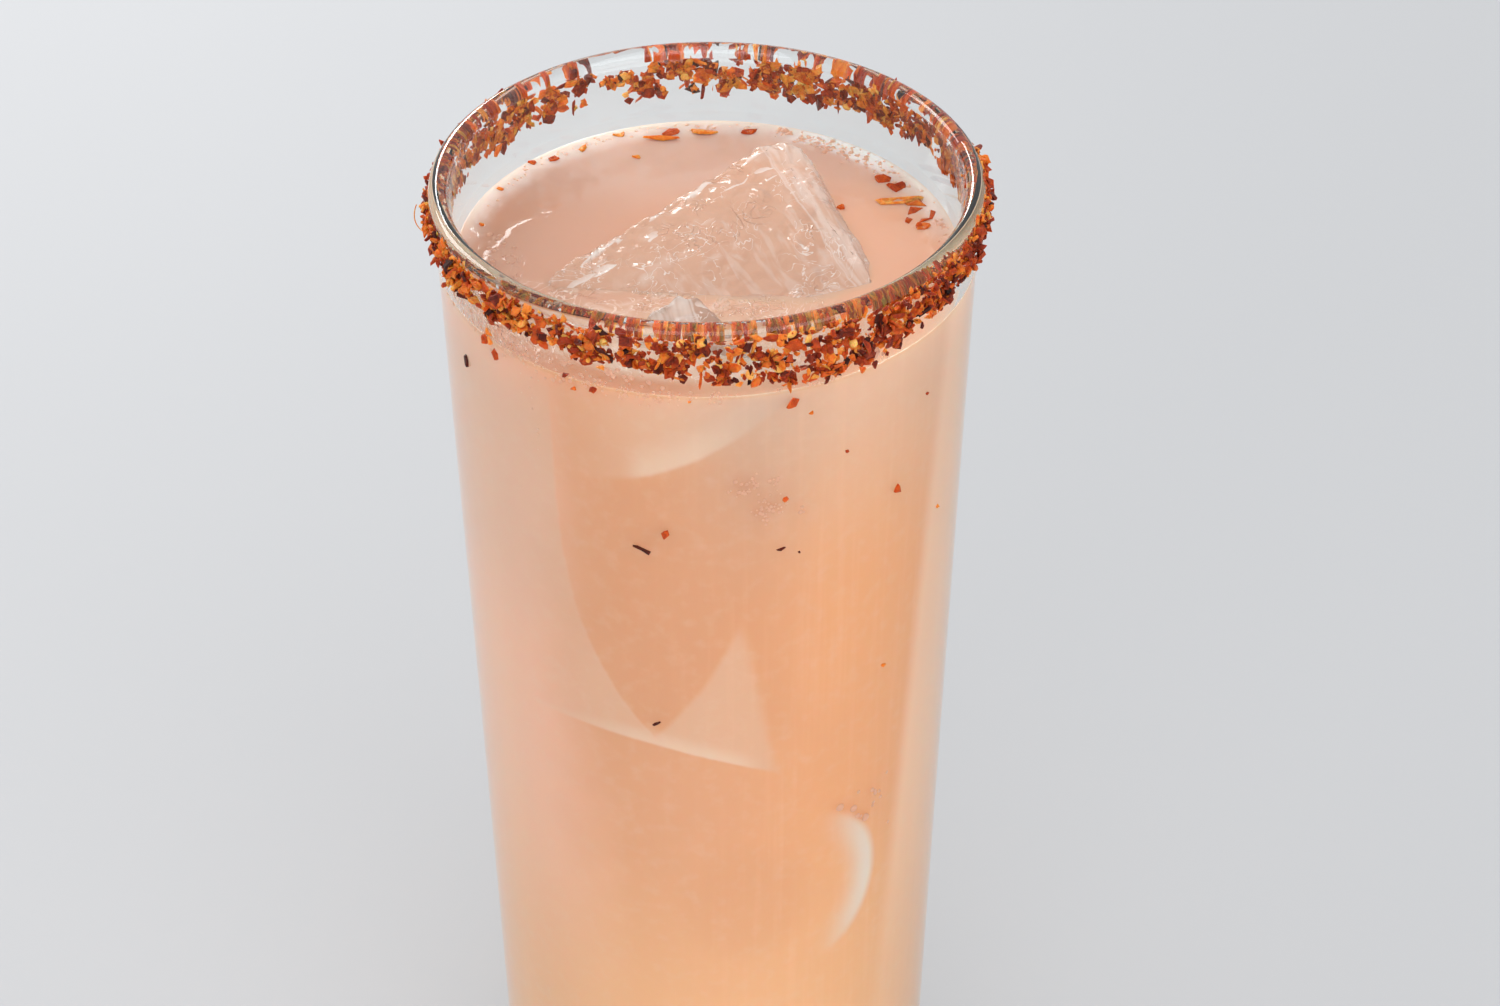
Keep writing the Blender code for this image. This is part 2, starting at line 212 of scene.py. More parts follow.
class Board:
    """One material and the nodes on it."""

    def __init__(self, name: str) -> None:
        """Start an empty material."""
        self.material = bpy.data.materials.new(name)
        self.material.use_nodes = True
        self.tree = self.material.node_tree
        self.tree.nodes.clear()
        self.output = self.add("ShaderNodeOutputMaterial")
        self.shader = self.add("ShaderNodeBsdfPrincipled")
        self.join(self.shader.outputs[0], self.output.inputs["Surface"])

    def join(self, source: bpy.types.NodeSocket, target: bpy.types.NodeSocket) -> None:
        """Link two sockets."""
        self.tree.links.new(source, target)

    def add(self, kind: str, settings: dict | None = None, links: dict | None = None) -> bpy.types.Node:
        """Add a node.

        Args:
            kind: The node's type.
            settings: Its properties, or "stops" for a ramp: pairs of place and colour.
            links: A value, wire or socket for each input, by name or number.

        Returns:
            The new node.
        """
        node = self.tree.nodes.new(kind)
        for name, value in (settings or {}).items():
            if name == "stops":
                self.set_stops(node.color_ramp, value)
            else:
                setattr(node, name, value)
        for name, value in (links or {}).items():
            self.feed(node, name, value)
        return node

    def feed(self, node: bpy.types.Node, name: "str | int", value: object) -> None:
        """Set or link one input of a node.

        Args:
            node: The node that is fed.
            name: The input's name or number.
            value: A number, a colour, a vector, a wire or a socket.
        """
        target = node.inputs[name]
        if isinstance(value, Wire):
            self.join(value.socket, target)
        elif isinstance(value, bpy.types.NodeSocket):
            self.join(value, target)
        elif target.type == "RGBA" and len(value) == 3:
            target.default_value = (*value, 1.0)
        else:
            target.default_value = value

    def set_stops(self, ramp: bpy.types.ColorRamp, stops: Sequence[tuple[float, Colour]]) -> None:
        """Give a ramp its stops."""
        while len(ramp.elements) < len(stops):
            ramp.elements.new(0.5)
        for element, (place, colour) in zip(ramp.elements, stops):
            element.position = place
            element.color = (*colour, 1.0)

    def dress(self, values: dict[str, object]) -> None:
        """Set or link the surface shader's inputs by name."""
        for name, value in values.items():
            self.feed(self.shader, name, value)

    def calculate(self, operation: str, *values: "Wire | float") -> Wire:
        """Add a Math node.

        Args:
            operation: Its operation.
            values: What it works on, in order.

        Returns:
            The result.
        """
        node = self.add("ShaderNodeMath", {"operation": operation}, dict(enumerate(values)))
        return Wire(self, node.outputs[0])

    def place(self) -> Place:
        """The point on the piece."""
        source = self.add("ShaderNodeTexCoord").outputs["Object"]
        links = {0: source, "Scale": 1 / MM}
        vector = self.add("ShaderNodeVectorMath", {"operation": "SCALE"}, links).outputs[0]
        parts = self.add("ShaderNodeSeparateXYZ", None, {0: vector}).outputs
        return Place(vector, *(Wire(self, part) for part in parts))

    def pair(self, first: Wire, second: Wire) -> bpy.types.NodeSocket:
        """A flat vector from two values."""
        return self.add("ShaderNodeCombineXYZ", None, {0: first, 1: second}).outputs[0]

    def noise(self, vector: bpy.types.NodeSocket, grain: Grain) -> Wire:
        """Noise from 0 to 1, read at a vector."""
        links = {"Vector": vector, "Scale": grain.scale, "Detail": grain.detail, "Distortion": grain.wobble}
        return Wire(self, self.add("ShaderNodeTexNoise", None, links).outputs[0])

    def wander(self, vector: bpy.types.NodeSocket, grain: Grain, reach: float = 1.0) -> Wire:
        """Noise that swings round 0, read at a vector and stretched by a reach."""
        return (self.noise(vector, grain) - NOISE_MIDDLE) * reach

    def mix(self, share: "Wire | float", first: object, second: object) -> bpy.types.NodeSocket:
        """Mix two colours.

        Args:
            share: How much of the second.
            first: A colour or socket.
            second: A colour or socket.

        Returns:
            The colour socket.
        """
        node = self.add("ShaderNodeMix", {"data_type": "RGBA"}, {0: share, 6: first, 7: second})
        return node.outputs[2]

    def island(self) -> Wire:
        """A random number for each loose piece of the mesh."""
        return Wire(self, self.add("ShaderNodeNewGeometry").outputs["Random Per Island"])

    def bump(self, height: Wire, distance: float) -> None:
        """Raise the surface by a height from 0 to 1, a full step being a distance in metres."""
        node = self.add("ShaderNodeBump", None, {"Height": height, "Distance": distance, "Strength": 1.0})
        self.feed(self.shader, "Normal", node.outputs[0])

    def clear_shadow(self, tint: Colour) -> None:
        """Let tinted light through to what the piece covers: shadow rays see a transparent surface."""
        through = self.add("ShaderNodeBsdfTransparent", None, {"Color": tint})
        shadow = self.add("ShaderNodeLightPath").outputs["Is Shadow Ray"]
        links = {0: shadow, 1: self.shader.outputs[0], 2: through.outputs[0]}
        mixed = self.add("ShaderNodeMixShader", None, links)
        self.join(mixed.outputs[0], self.output.inputs["Surface"])


@dataclass(frozen=True)
class Hairlines:
    """Thin curved lines where noise passes its middle, kept to the patches of a second noise."""

    grain: Grain
    width: float
    patch: Grain
    cover: Span

    def draw(self, board: Board, vector: bpy.types.NodeSocket) -> Wire:
        """A share that is 1 on a line."""
        lines = board.noise(vector, self.grain).bell(NOISE_MIDDLE, self.width)
        return lines * board.noise(vector, self.patch).ease(*self.cover)


@dataclass(frozen=True)
class ClearGlass:
    """Polished soda glass with a faint green body colour, and wet smears under the crust.

    The smears lie between two heights in millimetres, round two azimuths that each come with a width.
    """

    tint: Colour = (0.985, 0.995, 0.99)
    shadow_tint: Colour = (0.96, 0.97, 0.965)
    index: float = 1.5
    body: Colour = paint(178, 214, 204)
    density: float = 22.0
    smear_from: Span = (152.5, 156.5)
    smear_to: Span = (161.5, 159.5)
    smear_left: Span = (-46.0, 34.0)
    smear_right: Span = (36.0, 20.0)
    smear_right_share: float = 0.7
    smear: Grain = Grain(0.5, 3.0, 1.8)
    smear_height: float = 0.16 * MM

    def make(self, name: str) -> bpy.types.Material:
        """Make the material.

        Args:
            name: Its name.

        Returns:
            The material.
        """
        board = Board(name)
        board.dress({
            "Base Color": self.tint,
            "Roughness": 0.0,
            "IOR": self.index,
            "Transmission Weight": 1.0,
        })
        place = board.place()
        azimuth = place.azimuth()
        wet = place.height.ease(*self.smear_from) * place.height.ease(*self.smear_to)
        right = azimuth.bell(*self.smear_right) * self.smear_right_share
        wet = wet * (azimuth.bell(*self.smear_left) + right)
        board.bump(board.noise(place.vector, self.smear) * wet, self.smear_height)
        board.clear_shadow(self.shadow_tint)
        body = board.add("ShaderNodeVolumeAbsorption", None, {"Color": self.body, "Density": self.density})
        board.join(body.outputs[0], board.output.inputs["Volume"])
        return board.material


@dataclass(frozen=True)
class WetIce:
    """Clear melting ice showing the drink: wet, rippled, with white hairlines, a frosty side and painted
    glints.

    The ridge and the side are straight lines in plan, each given by its direction in degrees from X and its
    distance from the axis. A row of glints, which are painted highlights, has the noise that starts and fills
    it, its distance from the ridge and its width.
    """

    body: Colour = paint(226, 184, 158)
    frost_and_glint: Colour = paint(255, 246, 238)
    shadow_tint: Colour = (0.93, 0.92, 0.91)
    index: float = 1.31
    clear: float = 0.35
    roughness: float = 0.03
    streak: Grain = Grain(0.7, 2.0, 0.4)
    ridge_turn: float = 39.1
    ridge_offset: float = 6.7
    ridge_stretch: float = 3.4
    # Rows of glints: painted highlights along the ridge.
    glint_rows: tuple[tuple[Span, Span], ...] = (((0.53, 0.56), (0.7, 0.7)), ((0.61, 0.635), (4.0, 2.4)))
    side_turn: float = 117.0
    side_offset: float = 11.9
    side_stretch: float = 5.0
    side_wander: Grain = Grain(0.3, 2.0)
    side_wander_reach: float = 1.6
    side_start: Span = (-0.4, 0.5)
    side_cover: Span = (0.38, 0.6)
    side_least: float = 0.25
    # Width of the painted highlight line along the side's edge.
    side_line: float = 0.3
    side_share: float = 0.5
    inner_cover: Span = (0.5, 0.64)
    inner_start: Span = (5.0, 12.0)
    inner_share: float = 0.22
    hairlines: Hairlines = Hairlines(Grain(0.24, 2.0, 2.4), 0.014, Grain(0.15, 1.0), (0.44, 0.5))
    cloud: Grain = Grain(0.16, 4.0, 1.2)
    cloud_cover: Span = (0.52, 0.8)
    cloud_share: float = 0.45
    swell: Grain = Grain(0.3, 1.0, 0.6)
    creases: Hairlines = Hairlines(Grain(0.3, 1.0, 2.0), 0.06, Grain(0.17, 1.0), (0.5, 0.6))
    crease_share: float = 0.14
    wave: float = 0.7 * MM

    def streaks(self, board: Board, place: Place, turn: float, stretch: float) -> Wire:
        """Noise drawn out along a line in plan.

        Args:
            board: The material's nodes.
            place: The point on the ice.
            turn: The line's direction in degrees from X.
            stretch: How much longer than wide the streaks are.

        Returns:
            The noise value.
        """
        run = place.beside(turn + 90.0)
        return board.noise(board.pair(run * (1.0 / stretch), place.beside(turn)), self.streak)

    def frost_and_glints(self, board: Board, place: Place) -> Wire:
        """How white the ice is: glints, hairlines, clouds, frosty side and inner streaks, partly painted
        light.

        The glints are painted highlights. The hairlines are partly cracks and partly painted glints. The
        frosty side is partly painted light, with a painted highlight along its edge.

        Args:
            board: The material's nodes.
            place: The point on the ice.

        Returns:
            The share of white.
        """
        inward = place.beside(self.ridge_turn) + self.ridge_offset
        along_ridge = self.streaks(board, place, self.ridge_turn, self.ridge_stretch)
        # Painted highlights: rows of white glints along the ridge.
        glints = [along_ridge.ease(*cover) * inward.bell(*row) for cover, row in self.glint_rows]
        # White hairlines: partly cracks, partly painted glints.
        lines = self.hairlines.draw(board, place.vector)
        clouds = board.noise(place.vector, self.cloud).ease(*self.cloud_cover) * self.cloud_share
        # The frosty side: partly real, partly painted light, with a painted highlight line along its edge.
        beyond = place.beside(self.side_turn) - self.side_offset
        beyond = beyond + board.wander(place.vector, self.side_wander, self.side_wander_reach)
        along_side = self.streaks(board, place, self.side_turn, self.side_stretch)
        patchy = along_side.ease(*self.side_cover) * (1.0 - self.side_least) + self.side_least
        strip = (beyond.ease(*self.side_start) * patchy).highest(beyond.bell(0.0, self.side_line))
        inner = along_side.ease(*self.inner_cover) * inward.ease(*self.inner_start) * self.inner_share
        return lines.highest(*glints, clouds, strip * self.side_share, inner)

    def make(self, name: str) -> bpy.types.Material:
        """Make the material.

        Args:
            name: Its name.

        Returns:
            The material.
        """
        board = Board(name)
        place = board.place()
        board.dress({
            "Base Color": board.mix(self.frost_and_glints(board, place), self.body, self.frost_and_glint),
            "Roughness": self.roughness,
            "IOR": self.index,
            "Transmission Weight": self.clear,
        })
        creases = self.creases.draw(board, place.vector) * self.crease_share
        board.bump(board.noise(place.vector, self.swell) + creases, self.wave)
        board.clear_shadow(self.shadow_tint)
        return board.material


@dataclass(frozen=True)
class SunkenIce:
    """Where the sunken ice lies at the glass, in degrees of azimuth and millimetres below the lip's crest."""

    floor_depth: float = 63.0
    floor_bend: float = 0.0028
    floor_centre: float = -30.0
    floor_edge: Span = (-0.4, 0.6)
    left_start: float = 19.0
    left_drop: float = 40.0
    left_azimuth: float = -35.0
    left_swing: float = 17.0
    left_power: float = 3.2
    left_jitter: float = 0.25
    left_edge: Span = (-0.7, 0.7)
    left_top: Span = (9.0, 20.0)
    left_end: Span = (12.0, 4.0)
    left_fade: Span = (-48.0, -22.0)
    left_fade_depth: Span = (62.0, 34.0)
    corner_tip: Span = (7.4, 43.0)
    corner_left: Span = (-6.0, 58.0)
    corner_right: Span = (15.4, 67.0)
    corner_bow: float = 0.03
    corner_jitter: float = 0.2
    corner_left_edge: Span = (-1.0, 1.4)
    corner_right_edge: Span = (-2.0, 2.0)
    corner_top: Span = (-1.0, 5.0)
    wedge_depth: float = 24.4
    wedge_bend: float = 0.0045
    wedge_left: float = -35.0
    wedge_width: float = 26.0
    wedge_jitter: float = 0.15
    wedge_edge: Span = (-0.5, 1.0)
    gleam_edge: Span = (-0.3, 0.6)
    gleam_top: Span = (6.0, 0.6)
    gleam_left: Span = (-19.0, -13.0)
    gleam_right: Span = (14.0, -4.0)
    hollow_left: Span = (-42.0, -24.0)
    hollow_right: Span = (30.0, 8.0)
    hollow_top: Span = (12.0, 26.0)
    hollow_end: Span = (70.0, 58.0)
    line_jitter: float = 0.1
    line_width: Span = (0.7, 3.1)
    line_spread: Span = (-56.0, -8.0)
    line_edge: Span = (-0.3, 0.3)
    line_left: Span = (-58.0, -8.0)
    line_right: Span = (15.0, 6.0)
    end_centre: Span = (24.0, 91.0)
    end_radii: Span = (20.5, 12.8)
    end_inner: Span = (0.45, 0.92)
    end_outer: Span = (1.1, 0.95)
    end_side: Span = (0.0, 0.95)
    end_power: float = 1.5
    low_centre: Span = (9.0, 91.0)
    low_radii: Span = (21.0, 12.0)
    low_fade: Span = (1.0, 0.15)

    def above_floor(self, azimuth: Wire, depth: Wire) -> Wire:
        """Distance above the bent lower edge of the two upper pieces."""
        apart = azimuth - self.floor_centre
        return apart * apart * self.floor_bend + self.floor_depth - depth

    def left_piece(self, azimuth: Wire, depth: Wire, jitter: Wire) -> Wire:
        """The long piece at the left, above its lower edge."""
        fallen = ((depth - self.left_start) / self.left_drop).highest(0.0) ** self.left_power
        edge = fallen * self.left_swing + self.left_azimuth
        inside = (edge - azimuth + jitter * self.left_jitter).ease(*self.left_edge)
        above = self.above_floor(azimuth, depth).ease(*self.floor_edge)
        fade = azimuth.ease(*self.left_fade).highest(depth.ease(*self.left_fade_depth))
        return inside * above * depth.ease(*self.left_top) * azimuth.ease(*self.left_end) * fade

    def corner(self, azimuth: Wire, depth: Wire, jitter: Wire) -> Wire:
        """The pointed corner that stands up at the middle."""
        tip_azimuth, tip_depth = self.corner_tip
        left_height = self.corner_left[1] - tip_depth
        left_slope = (self.corner_left[0] - tip_azimuth) / left_height
        right_slope = (self.corner_right[0] - tip_azimuth) / (self.corner_right[1] - tip_depth)
        fallen = depth - tip_depth
        bow = fallen * (left_height - fallen) * self.corner_bow
        shift = jitter * self.corner_jitter
        left = azimuth - (fallen * left_slope + tip_azimuth) - bow + shift
        right = (fallen * right_slope + tip_azimuth) - azimuth + shift
        above = self.above_floor(azimuth, depth).ease(*self.floor_edge)
        sides = left.ease(*self.corner_left_edge) * right.ease(*self.corner_right_edge)
        return sides * above * fallen.ease(*self.corner_top)

    def above_wedge(self, azimuth: Wire, depth: Wire, jitter: Wire) -> Wire:
        """Distance above the lower edge of the front piece."""
        apart = azimuth - self.wedge_left
        return apart * apart * -self.wedge_bend + self.wedge_depth - depth + jitter * self.wedge_jitter

    def front_wedge(self, azimuth: Wire, depth: Wire, jitter: Wire) -> Wire:
        """The front piece, just under the surface."""
        inside = azimuth.ease(self.wedge_left, self.wedge_left + self.wedge_width)
        return self.above_wedge(azimuth, depth, jitter).ease(*self.wedge_edge) * inside

    def wedge_gleam(self, azimuth: Wire, depth: Wire, jitter: Wire) -> Wire:
        """A painted highlight: the pale band along the front piece's lower right edge."""
        above = self.above_wedge(azimuth, depth, jitter)
        band = above.ease(*self.gleam_edge) * above.ease(*self.gleam_top)
        return band * azimuth.ease(*self.gleam_left) * azimuth.ease(*self.gleam_right)

    def hollow(self, azimuth: Wire, depth: Wire) -> Wire:
        """The deeper drink that shows between the pieces."""
        width = azimuth.ease(*self.hollow_left) * azimuth.ease(*self.hollow_right)
        return width * depth.ease(*self.hollow_top) * depth.ease(*self.hollow_end)

    def lower_edge_highlight(self, azimuth: Wire, depth: Wire, jitter: Wire) -> Wire:
        """A painted highlight: the bright line along the lower edge of the two upper pieces."""
        above = self.above_floor(azimuth, depth) + jitter * self.line_jitter
        narrow, wide = self.line_width
        spread = azimuth.ease(*self.line_spread) * (wide - narrow) + narrow
        line = above.ease(*self.line_edge) * (above / spread).ease(1.0, 0.0)
        return line * azimuth.ease(*self.line_left) * azimuth.ease(*self.line_right)

    def round_end_highlight(self, azimuth: Wire, depth: Wire) -> Wire:
        """A painted highlight: the bright crescent at the rounded end of the lowest piece."""
        across = (azimuth - self.end_centre[0]) / self.end_radii[0]
        down = (depth - self.end_centre[1]) / self.end_radii[1]
        ring = (across * across + down * down).math("SQRT")
        side = across.ease(*self.end_side) ** self.end_power
        return ring.ease(*self.end_inner) * ring.ease(*self.end_outer) * side

    def low_hollow(self, azimuth: Wire, depth: Wire) -> Wire:
        """The deeper drink inside the lowest piece."""
        across = (azimuth - self.low_centre[0]) / self.low_radii[0]
        down = (depth - self.low_centre[1]) / self.low_radii[1]
        return (across * across + down * down).ease(*self.low_fade)


@dataclass(frozen=True)
class Wash:
    """A colour that comes in between two values of a measure, up to a share."""

    colour: Colour
    span: Span
    share: float = 1.0

    def over(self, board: Board, under: object, measure: Wire, *masks: Wire) -> bpy.types.NodeSocket:
        """Lay the colour over another.

        Args:
            board: The material's nodes.
            under: The colour or socket below.
            measure: The value that the span is read from.
            masks: Shares that keep it to a part of the surface.

        Returns:
            The colour socket.
        """
        cover = measure.ease(*self.span) * self.share
        for mask in masks:
            cover = cover * mask
        return board.mix(cover, under, self.colour)


@dataclass(frozen=True)
class DrinkSide:
    """The drink behind the wall, by degrees of azimuth and millimetres below the lip's crest.

    It is pinker on the left and more orange low on the right, partly as painted light from the left, and
    paler where ice lies at the glass. Its pale rims, the bright marks at the sunken ice's edges and the
    lighter right part of the band under the surface are painted light.
    """

    # Pink at the left to orange at the right: partly the drink's colour, partly painted light.
    left: Colour = paint(248, 197, 170)
    middle: Wash = Wash(paint(224, 167, 129), (-50.0, -18.0))
    right: Wash = Wash(paint(237, 174, 124), (-10.0, 50.0))
    wander: Grain = Grain(0.06, 2.0)
    drift: float = 24.0
    # Painted light: the pale rims along the right and left edges.
    rim: Colour = paint(255, 208, 176)
    rim_share: float = 0.9
    rim_lean: float = 0.13
    rim_right: Span = (61.0, 67.5)
    rim_right_end: Span = (115.0, 90.0)
    rim_left: Span = (-49.0, -60.0)
    rim_left_end: Span = (-115.0, -90.0)
    rim_left_drift: float = 6.0
    rim_left_share: float = 0.33
    behind: Wash = Wash(paint(232, 180, 142), (85.0, 140.0))
    low: Wash = Wash(paint(240, 190, 143), (70.0, 125.0), 0.8)
    ice: SunkenIce = SunkenIce()
    jitter: Grain = Grain(0.25, 3.0)
    jitter_reach: float = 4.0
    deep: Colour = paint(216, 156, 116)
    deep_share: float = 0.5
    low_hollow_share: float = 0.5
    veil: Wash = Wash(paint(222, 188, 164), (100.0, 75.0), 0.5)
    # Painted light: the greyer band under the surface turns lighter towards the right.
    upper: Colour = paint(192, 170, 156)
    upper_right: Wash = Wash(paint(226, 198, 180), (6.0, 38.0))
    upper_share: float = 0.6
    upper_depth: Span = (46.0, 8.0)
    upper_from: Span = (-14.0, 14.0)
    upper_to: Span = (70.0, 58.0)
    streak: Grain = Grain(1.0, 3.0)
    streak_waves: Span = (0.4, 0.03)
    streaks: Wash = Wash(paint(255, 208, 176), (0.45, 0.75), 0.1)
    streaks_from: Span = (-30.0, 30.0)
    streaks_to: Span = (100.0, 70.0)
    speck: Grain = Grain(0.5, 5.0)
    specks: Wash = Wash(paint(236, 216, 196), (0.45, 0.8), 0.12)
    # Painted highlights at the sunken ice's edges and at the crescent of its lowest piece.
    glint: Colour = paint(236, 216, 196)
    glint_share: float = 0.6
    line_share: float = 0.8
    wedge_share: float = 0.7
    gleam: Colour = paint(228, 226, 220)
    gleam_share: float = 0.75

    def plain(self, board: Board, place: Place, azimuth: Wire, depth: Wire) -> bpy.types.NodeSocket:
        """The drink's colour, drifting from left to right and down partly as painted light, with painted pale
        rims.

        Args:
            board: The material's nodes.
            place: The point on the drink.
            azimuth: Degrees from the front, positive to the right.
            depth: Millimetres below the lip's crest.

        Returns:
            The colour socket.
        """
        wander = board.wander(place.vector, self.wander)
        # The drift to orange at the right is partly the drink's colour, partly painted light from the left.
        drift = azimuth + wander * self.drift
        colour = self.middle.over(board, self.left, drift)
        colour = self.right.over(board, colour, drift)
        # Painted light: pale rims along the right and left edges.
        right = (azimuth + depth * self.rim_lean).ease(*self.rim_right)
        left = (azimuth + wander * self.rim_left_drift).ease(*self.rim_left) * self.rim_left_share
        right = right * azimuth.ease(*self.rim_right_end)
        edges = right.highest(left * azimuth.ease(*self.rim_left_end))
        colour = board.mix(edges * self.rim_share, colour, self.rim)
        colour = self.behind.over(board, colour, azimuth.math("ABSOLUTE"))
        return self.low.over(board, colour, depth)

    def colour(self, board: Board, place: Place, depth: Wire) -> bpy.types.NodeSocket:
        """The side's colour, with the ice that lies at the glass and painted highlights at its edges.

        Args:
            board: The material's nodes.
            place: The point on the drink.
            depth: Millimetres below the lip's crest.

        Returns:
            The colour socket.
        """
        azimuth = place.azimuth()
        around = azimuth.math("ABSOLUTE")
        colour = self.plain(board, place, azimuth, depth)
        jitter = board.wander(place.vector, self.jitter, self.jitter_reach)
        at = (azimuth, depth, jitter)
        ice = self.ice
        veil = ice.left_piece(*at).highest(ice.corner(*at), ice.front_wedge(*at))
        low_hollow = ice.low_hollow(azimuth, depth) * self.low_hollow_share
        hollow = (ice.hollow(azimuth, depth) * (1.0 - veil)).highest(low_hollow)
        colour = board.mix(hollow * self.deep_share, colour, self.deep)
        colour = self.veil.over(board, colour, around, veil)
        # Painted light: the greyer band under the surface turns lighter towards the right.
        upper = depth.ease(*self.upper_depth) * azimuth.ease(*self.upper_from) * azimuth.ease(*self.upper_to)
        pale = self.upper_right.over(board, self.upper, azimuth)
        colour = board.mix(upper * self.upper_share, colour, pale)
        drawn_out = board.pair(azimuth * self.streak_waves[0], depth * self.streak_waves[1])
        facing = azimuth.ease(*self.streaks_from) * around.ease(*self.streaks_to)
        colour = self.streaks.over(board, colour, board.noise(drawn_out, self.streak), facing)
        colour = self.specks.over(board, colour, board.noise(place.vector, self.speck))
        # Painted highlights: the line under the upper pieces, the band by the front piece and the crescent.
        edges = (ice.lower_edge_highlight(*at) * self.line_share).highest(ice.wedge_gleam(*at) * self.wedge_share)
        colour = board.mix(edges * self.glint_share, colour, self.glint)
        return board.mix(ice.round_end_highlight(azimuth, depth) * self.gleam_share, colour, self.gleam)


@dataclass(frozen=True)
class DrinkTop:
    """The drink's surface: frosty over the ice in front, with an edge, a pale shore and froth behind.

    Its frosty hairlines are partly painted glints; its pale shore is a painted reflection on the meniscus.
    """

    left: Colour = paint(200, 152, 128)
    right: Wash = Wash(paint(226, 172, 142), (-26.0, 26.0))
    front: Wash = Wash(paint(220, 182, 157), (-8.0, -20.0))
    # Frosty clouds and hairlines in front; the hairlines are partly painted glints.
    frost_and_glint: Wash = Wash(paint(246, 228, 214), (-9.0, -12.0), 0.7)
    frost_slant: float = 0.15
    hairlines: Hairlines = Hairlines(Grain(0.24, 2.0, 2.4), 0.02, Grain(0.15, 1.0), (0.42, 0.54))
    cloud: Grain = Grain(0.2, 4.0, 1.6)
    cloud_cover: Span = (0.5, 0.75)
    cloud_share: float = 0.5
    edge_left: Colour = paint(204, 137, 96)
    edge_middle: Wash = Wash(paint(210, 156, 120), (-14.0, 8.0))
    edge_right: Wash = Wash(paint(242, 179, 137), (20.0, 42.0))
    edge_radius: Span = (25.5, 28.0)
    edge_front: Span = (-2.0, -14.0)
    back: Wash = Wash(paint(210, 176, 160), (6.0, 20.0), 0.7)
    ragged: Grain = Grain(0.3, 3.0)
    ragged_reach: float = 3.0
    # Painted reflection: the pale shore along the meniscus at the back.
    shore: Wash = Wash(paint(222, 208, 198), (26.0, 30.0), 0.9)
    shore_back: Span = (-4.0, 12.0)
    froth: Wash = Wash(paint(236, 232, 228), (27.0, 28.4), 0.9)
    froth_from: Span = (124.0, 136.0)
    froth_to: Span = (162.0, 152.0)
    swell: Grain = Grain(0.16, 2.0, 0.8)
    swell_share: float = 0.2
    flecks: Hairlines = Hairlines(Grain(0.5, 1.0, 2.0), 0.05, Grain(0.25, 1.0), (0.5, 0.62))
    fleck_share: float = 0.4
    fleck_slant: float = 0.25
    fleck_front: Span = (-6.0, -12.0)
    fleck_radius: Span = (27.0, 25.0)
    wave: float = 0.35 * MM

    def colour(self, board: Board, place: Place) -> bpy.types.NodeSocket:
        """The surface's colour.

        Args:
            board: The material's nodes.
            place: The point on the drink.

        Returns:
            The colour socket.
        """
        across, along = place.across, place.along
        azimuth, radius = place.azimuth(), place.radius()
        colour = self.right.over(board, self.left, across)
        colour = self.front.over(board, colour, along)
        # Frosty clouds and hairlines in front; the hairlines are partly painted glints.
        clouds = board.noise(place.vector, self.cloud).ease(*self.cloud_cover) * self.cloud_share
        frost_and_glints = self.hairlines.draw(board, place.vector).highest(clouds)
        colour = self.frost_and_glint.over(board, colour, along + across * self.frost_slant, frost_and_glints)
        edge = self.edge_middle.over(board, self.edge_left, azimuth)
        edge = self.edge_right.over(board, edge, azimuth)
        colour = board.mix(radius.ease(*self.edge_radius) * along.ease(*self.edge_front), colour, edge)
        colour = self.back.over(board, colour, along)
        ragged = radius + board.wander(place.vector, self.ragged, self.ragged_reach)
        # The pale shore at the back: a painted reflection along the meniscus.
        colour = self.shore.over(board, colour, ragged, along.ease(*self.shore_back))
        frothy = azimuth.ease(*self.froth_from) * azimuth.ease(*self.froth_to)
        return self.froth.over(board, colour, ragged, frothy)

    def relief(self, board: Board, place: Place) -> Wire:
        """The height of its waves, and of its flecks near the ice in front.

        Args:
            board: The material's nodes.
            place: The point on the drink.

        Returns:
            The height.
        """
        near_ice = (place.along + place.across * self.fleck_slant).ease(*self.fleck_front)
        near_ice = near_ice * place.radius().ease(*self.fleck_radius)
        flecks = self.flecks.draw(board, place.vector) * near_ice * self.fleck_share
        return board.noise(place.vector, self.swell) * self.swell_share + flecks


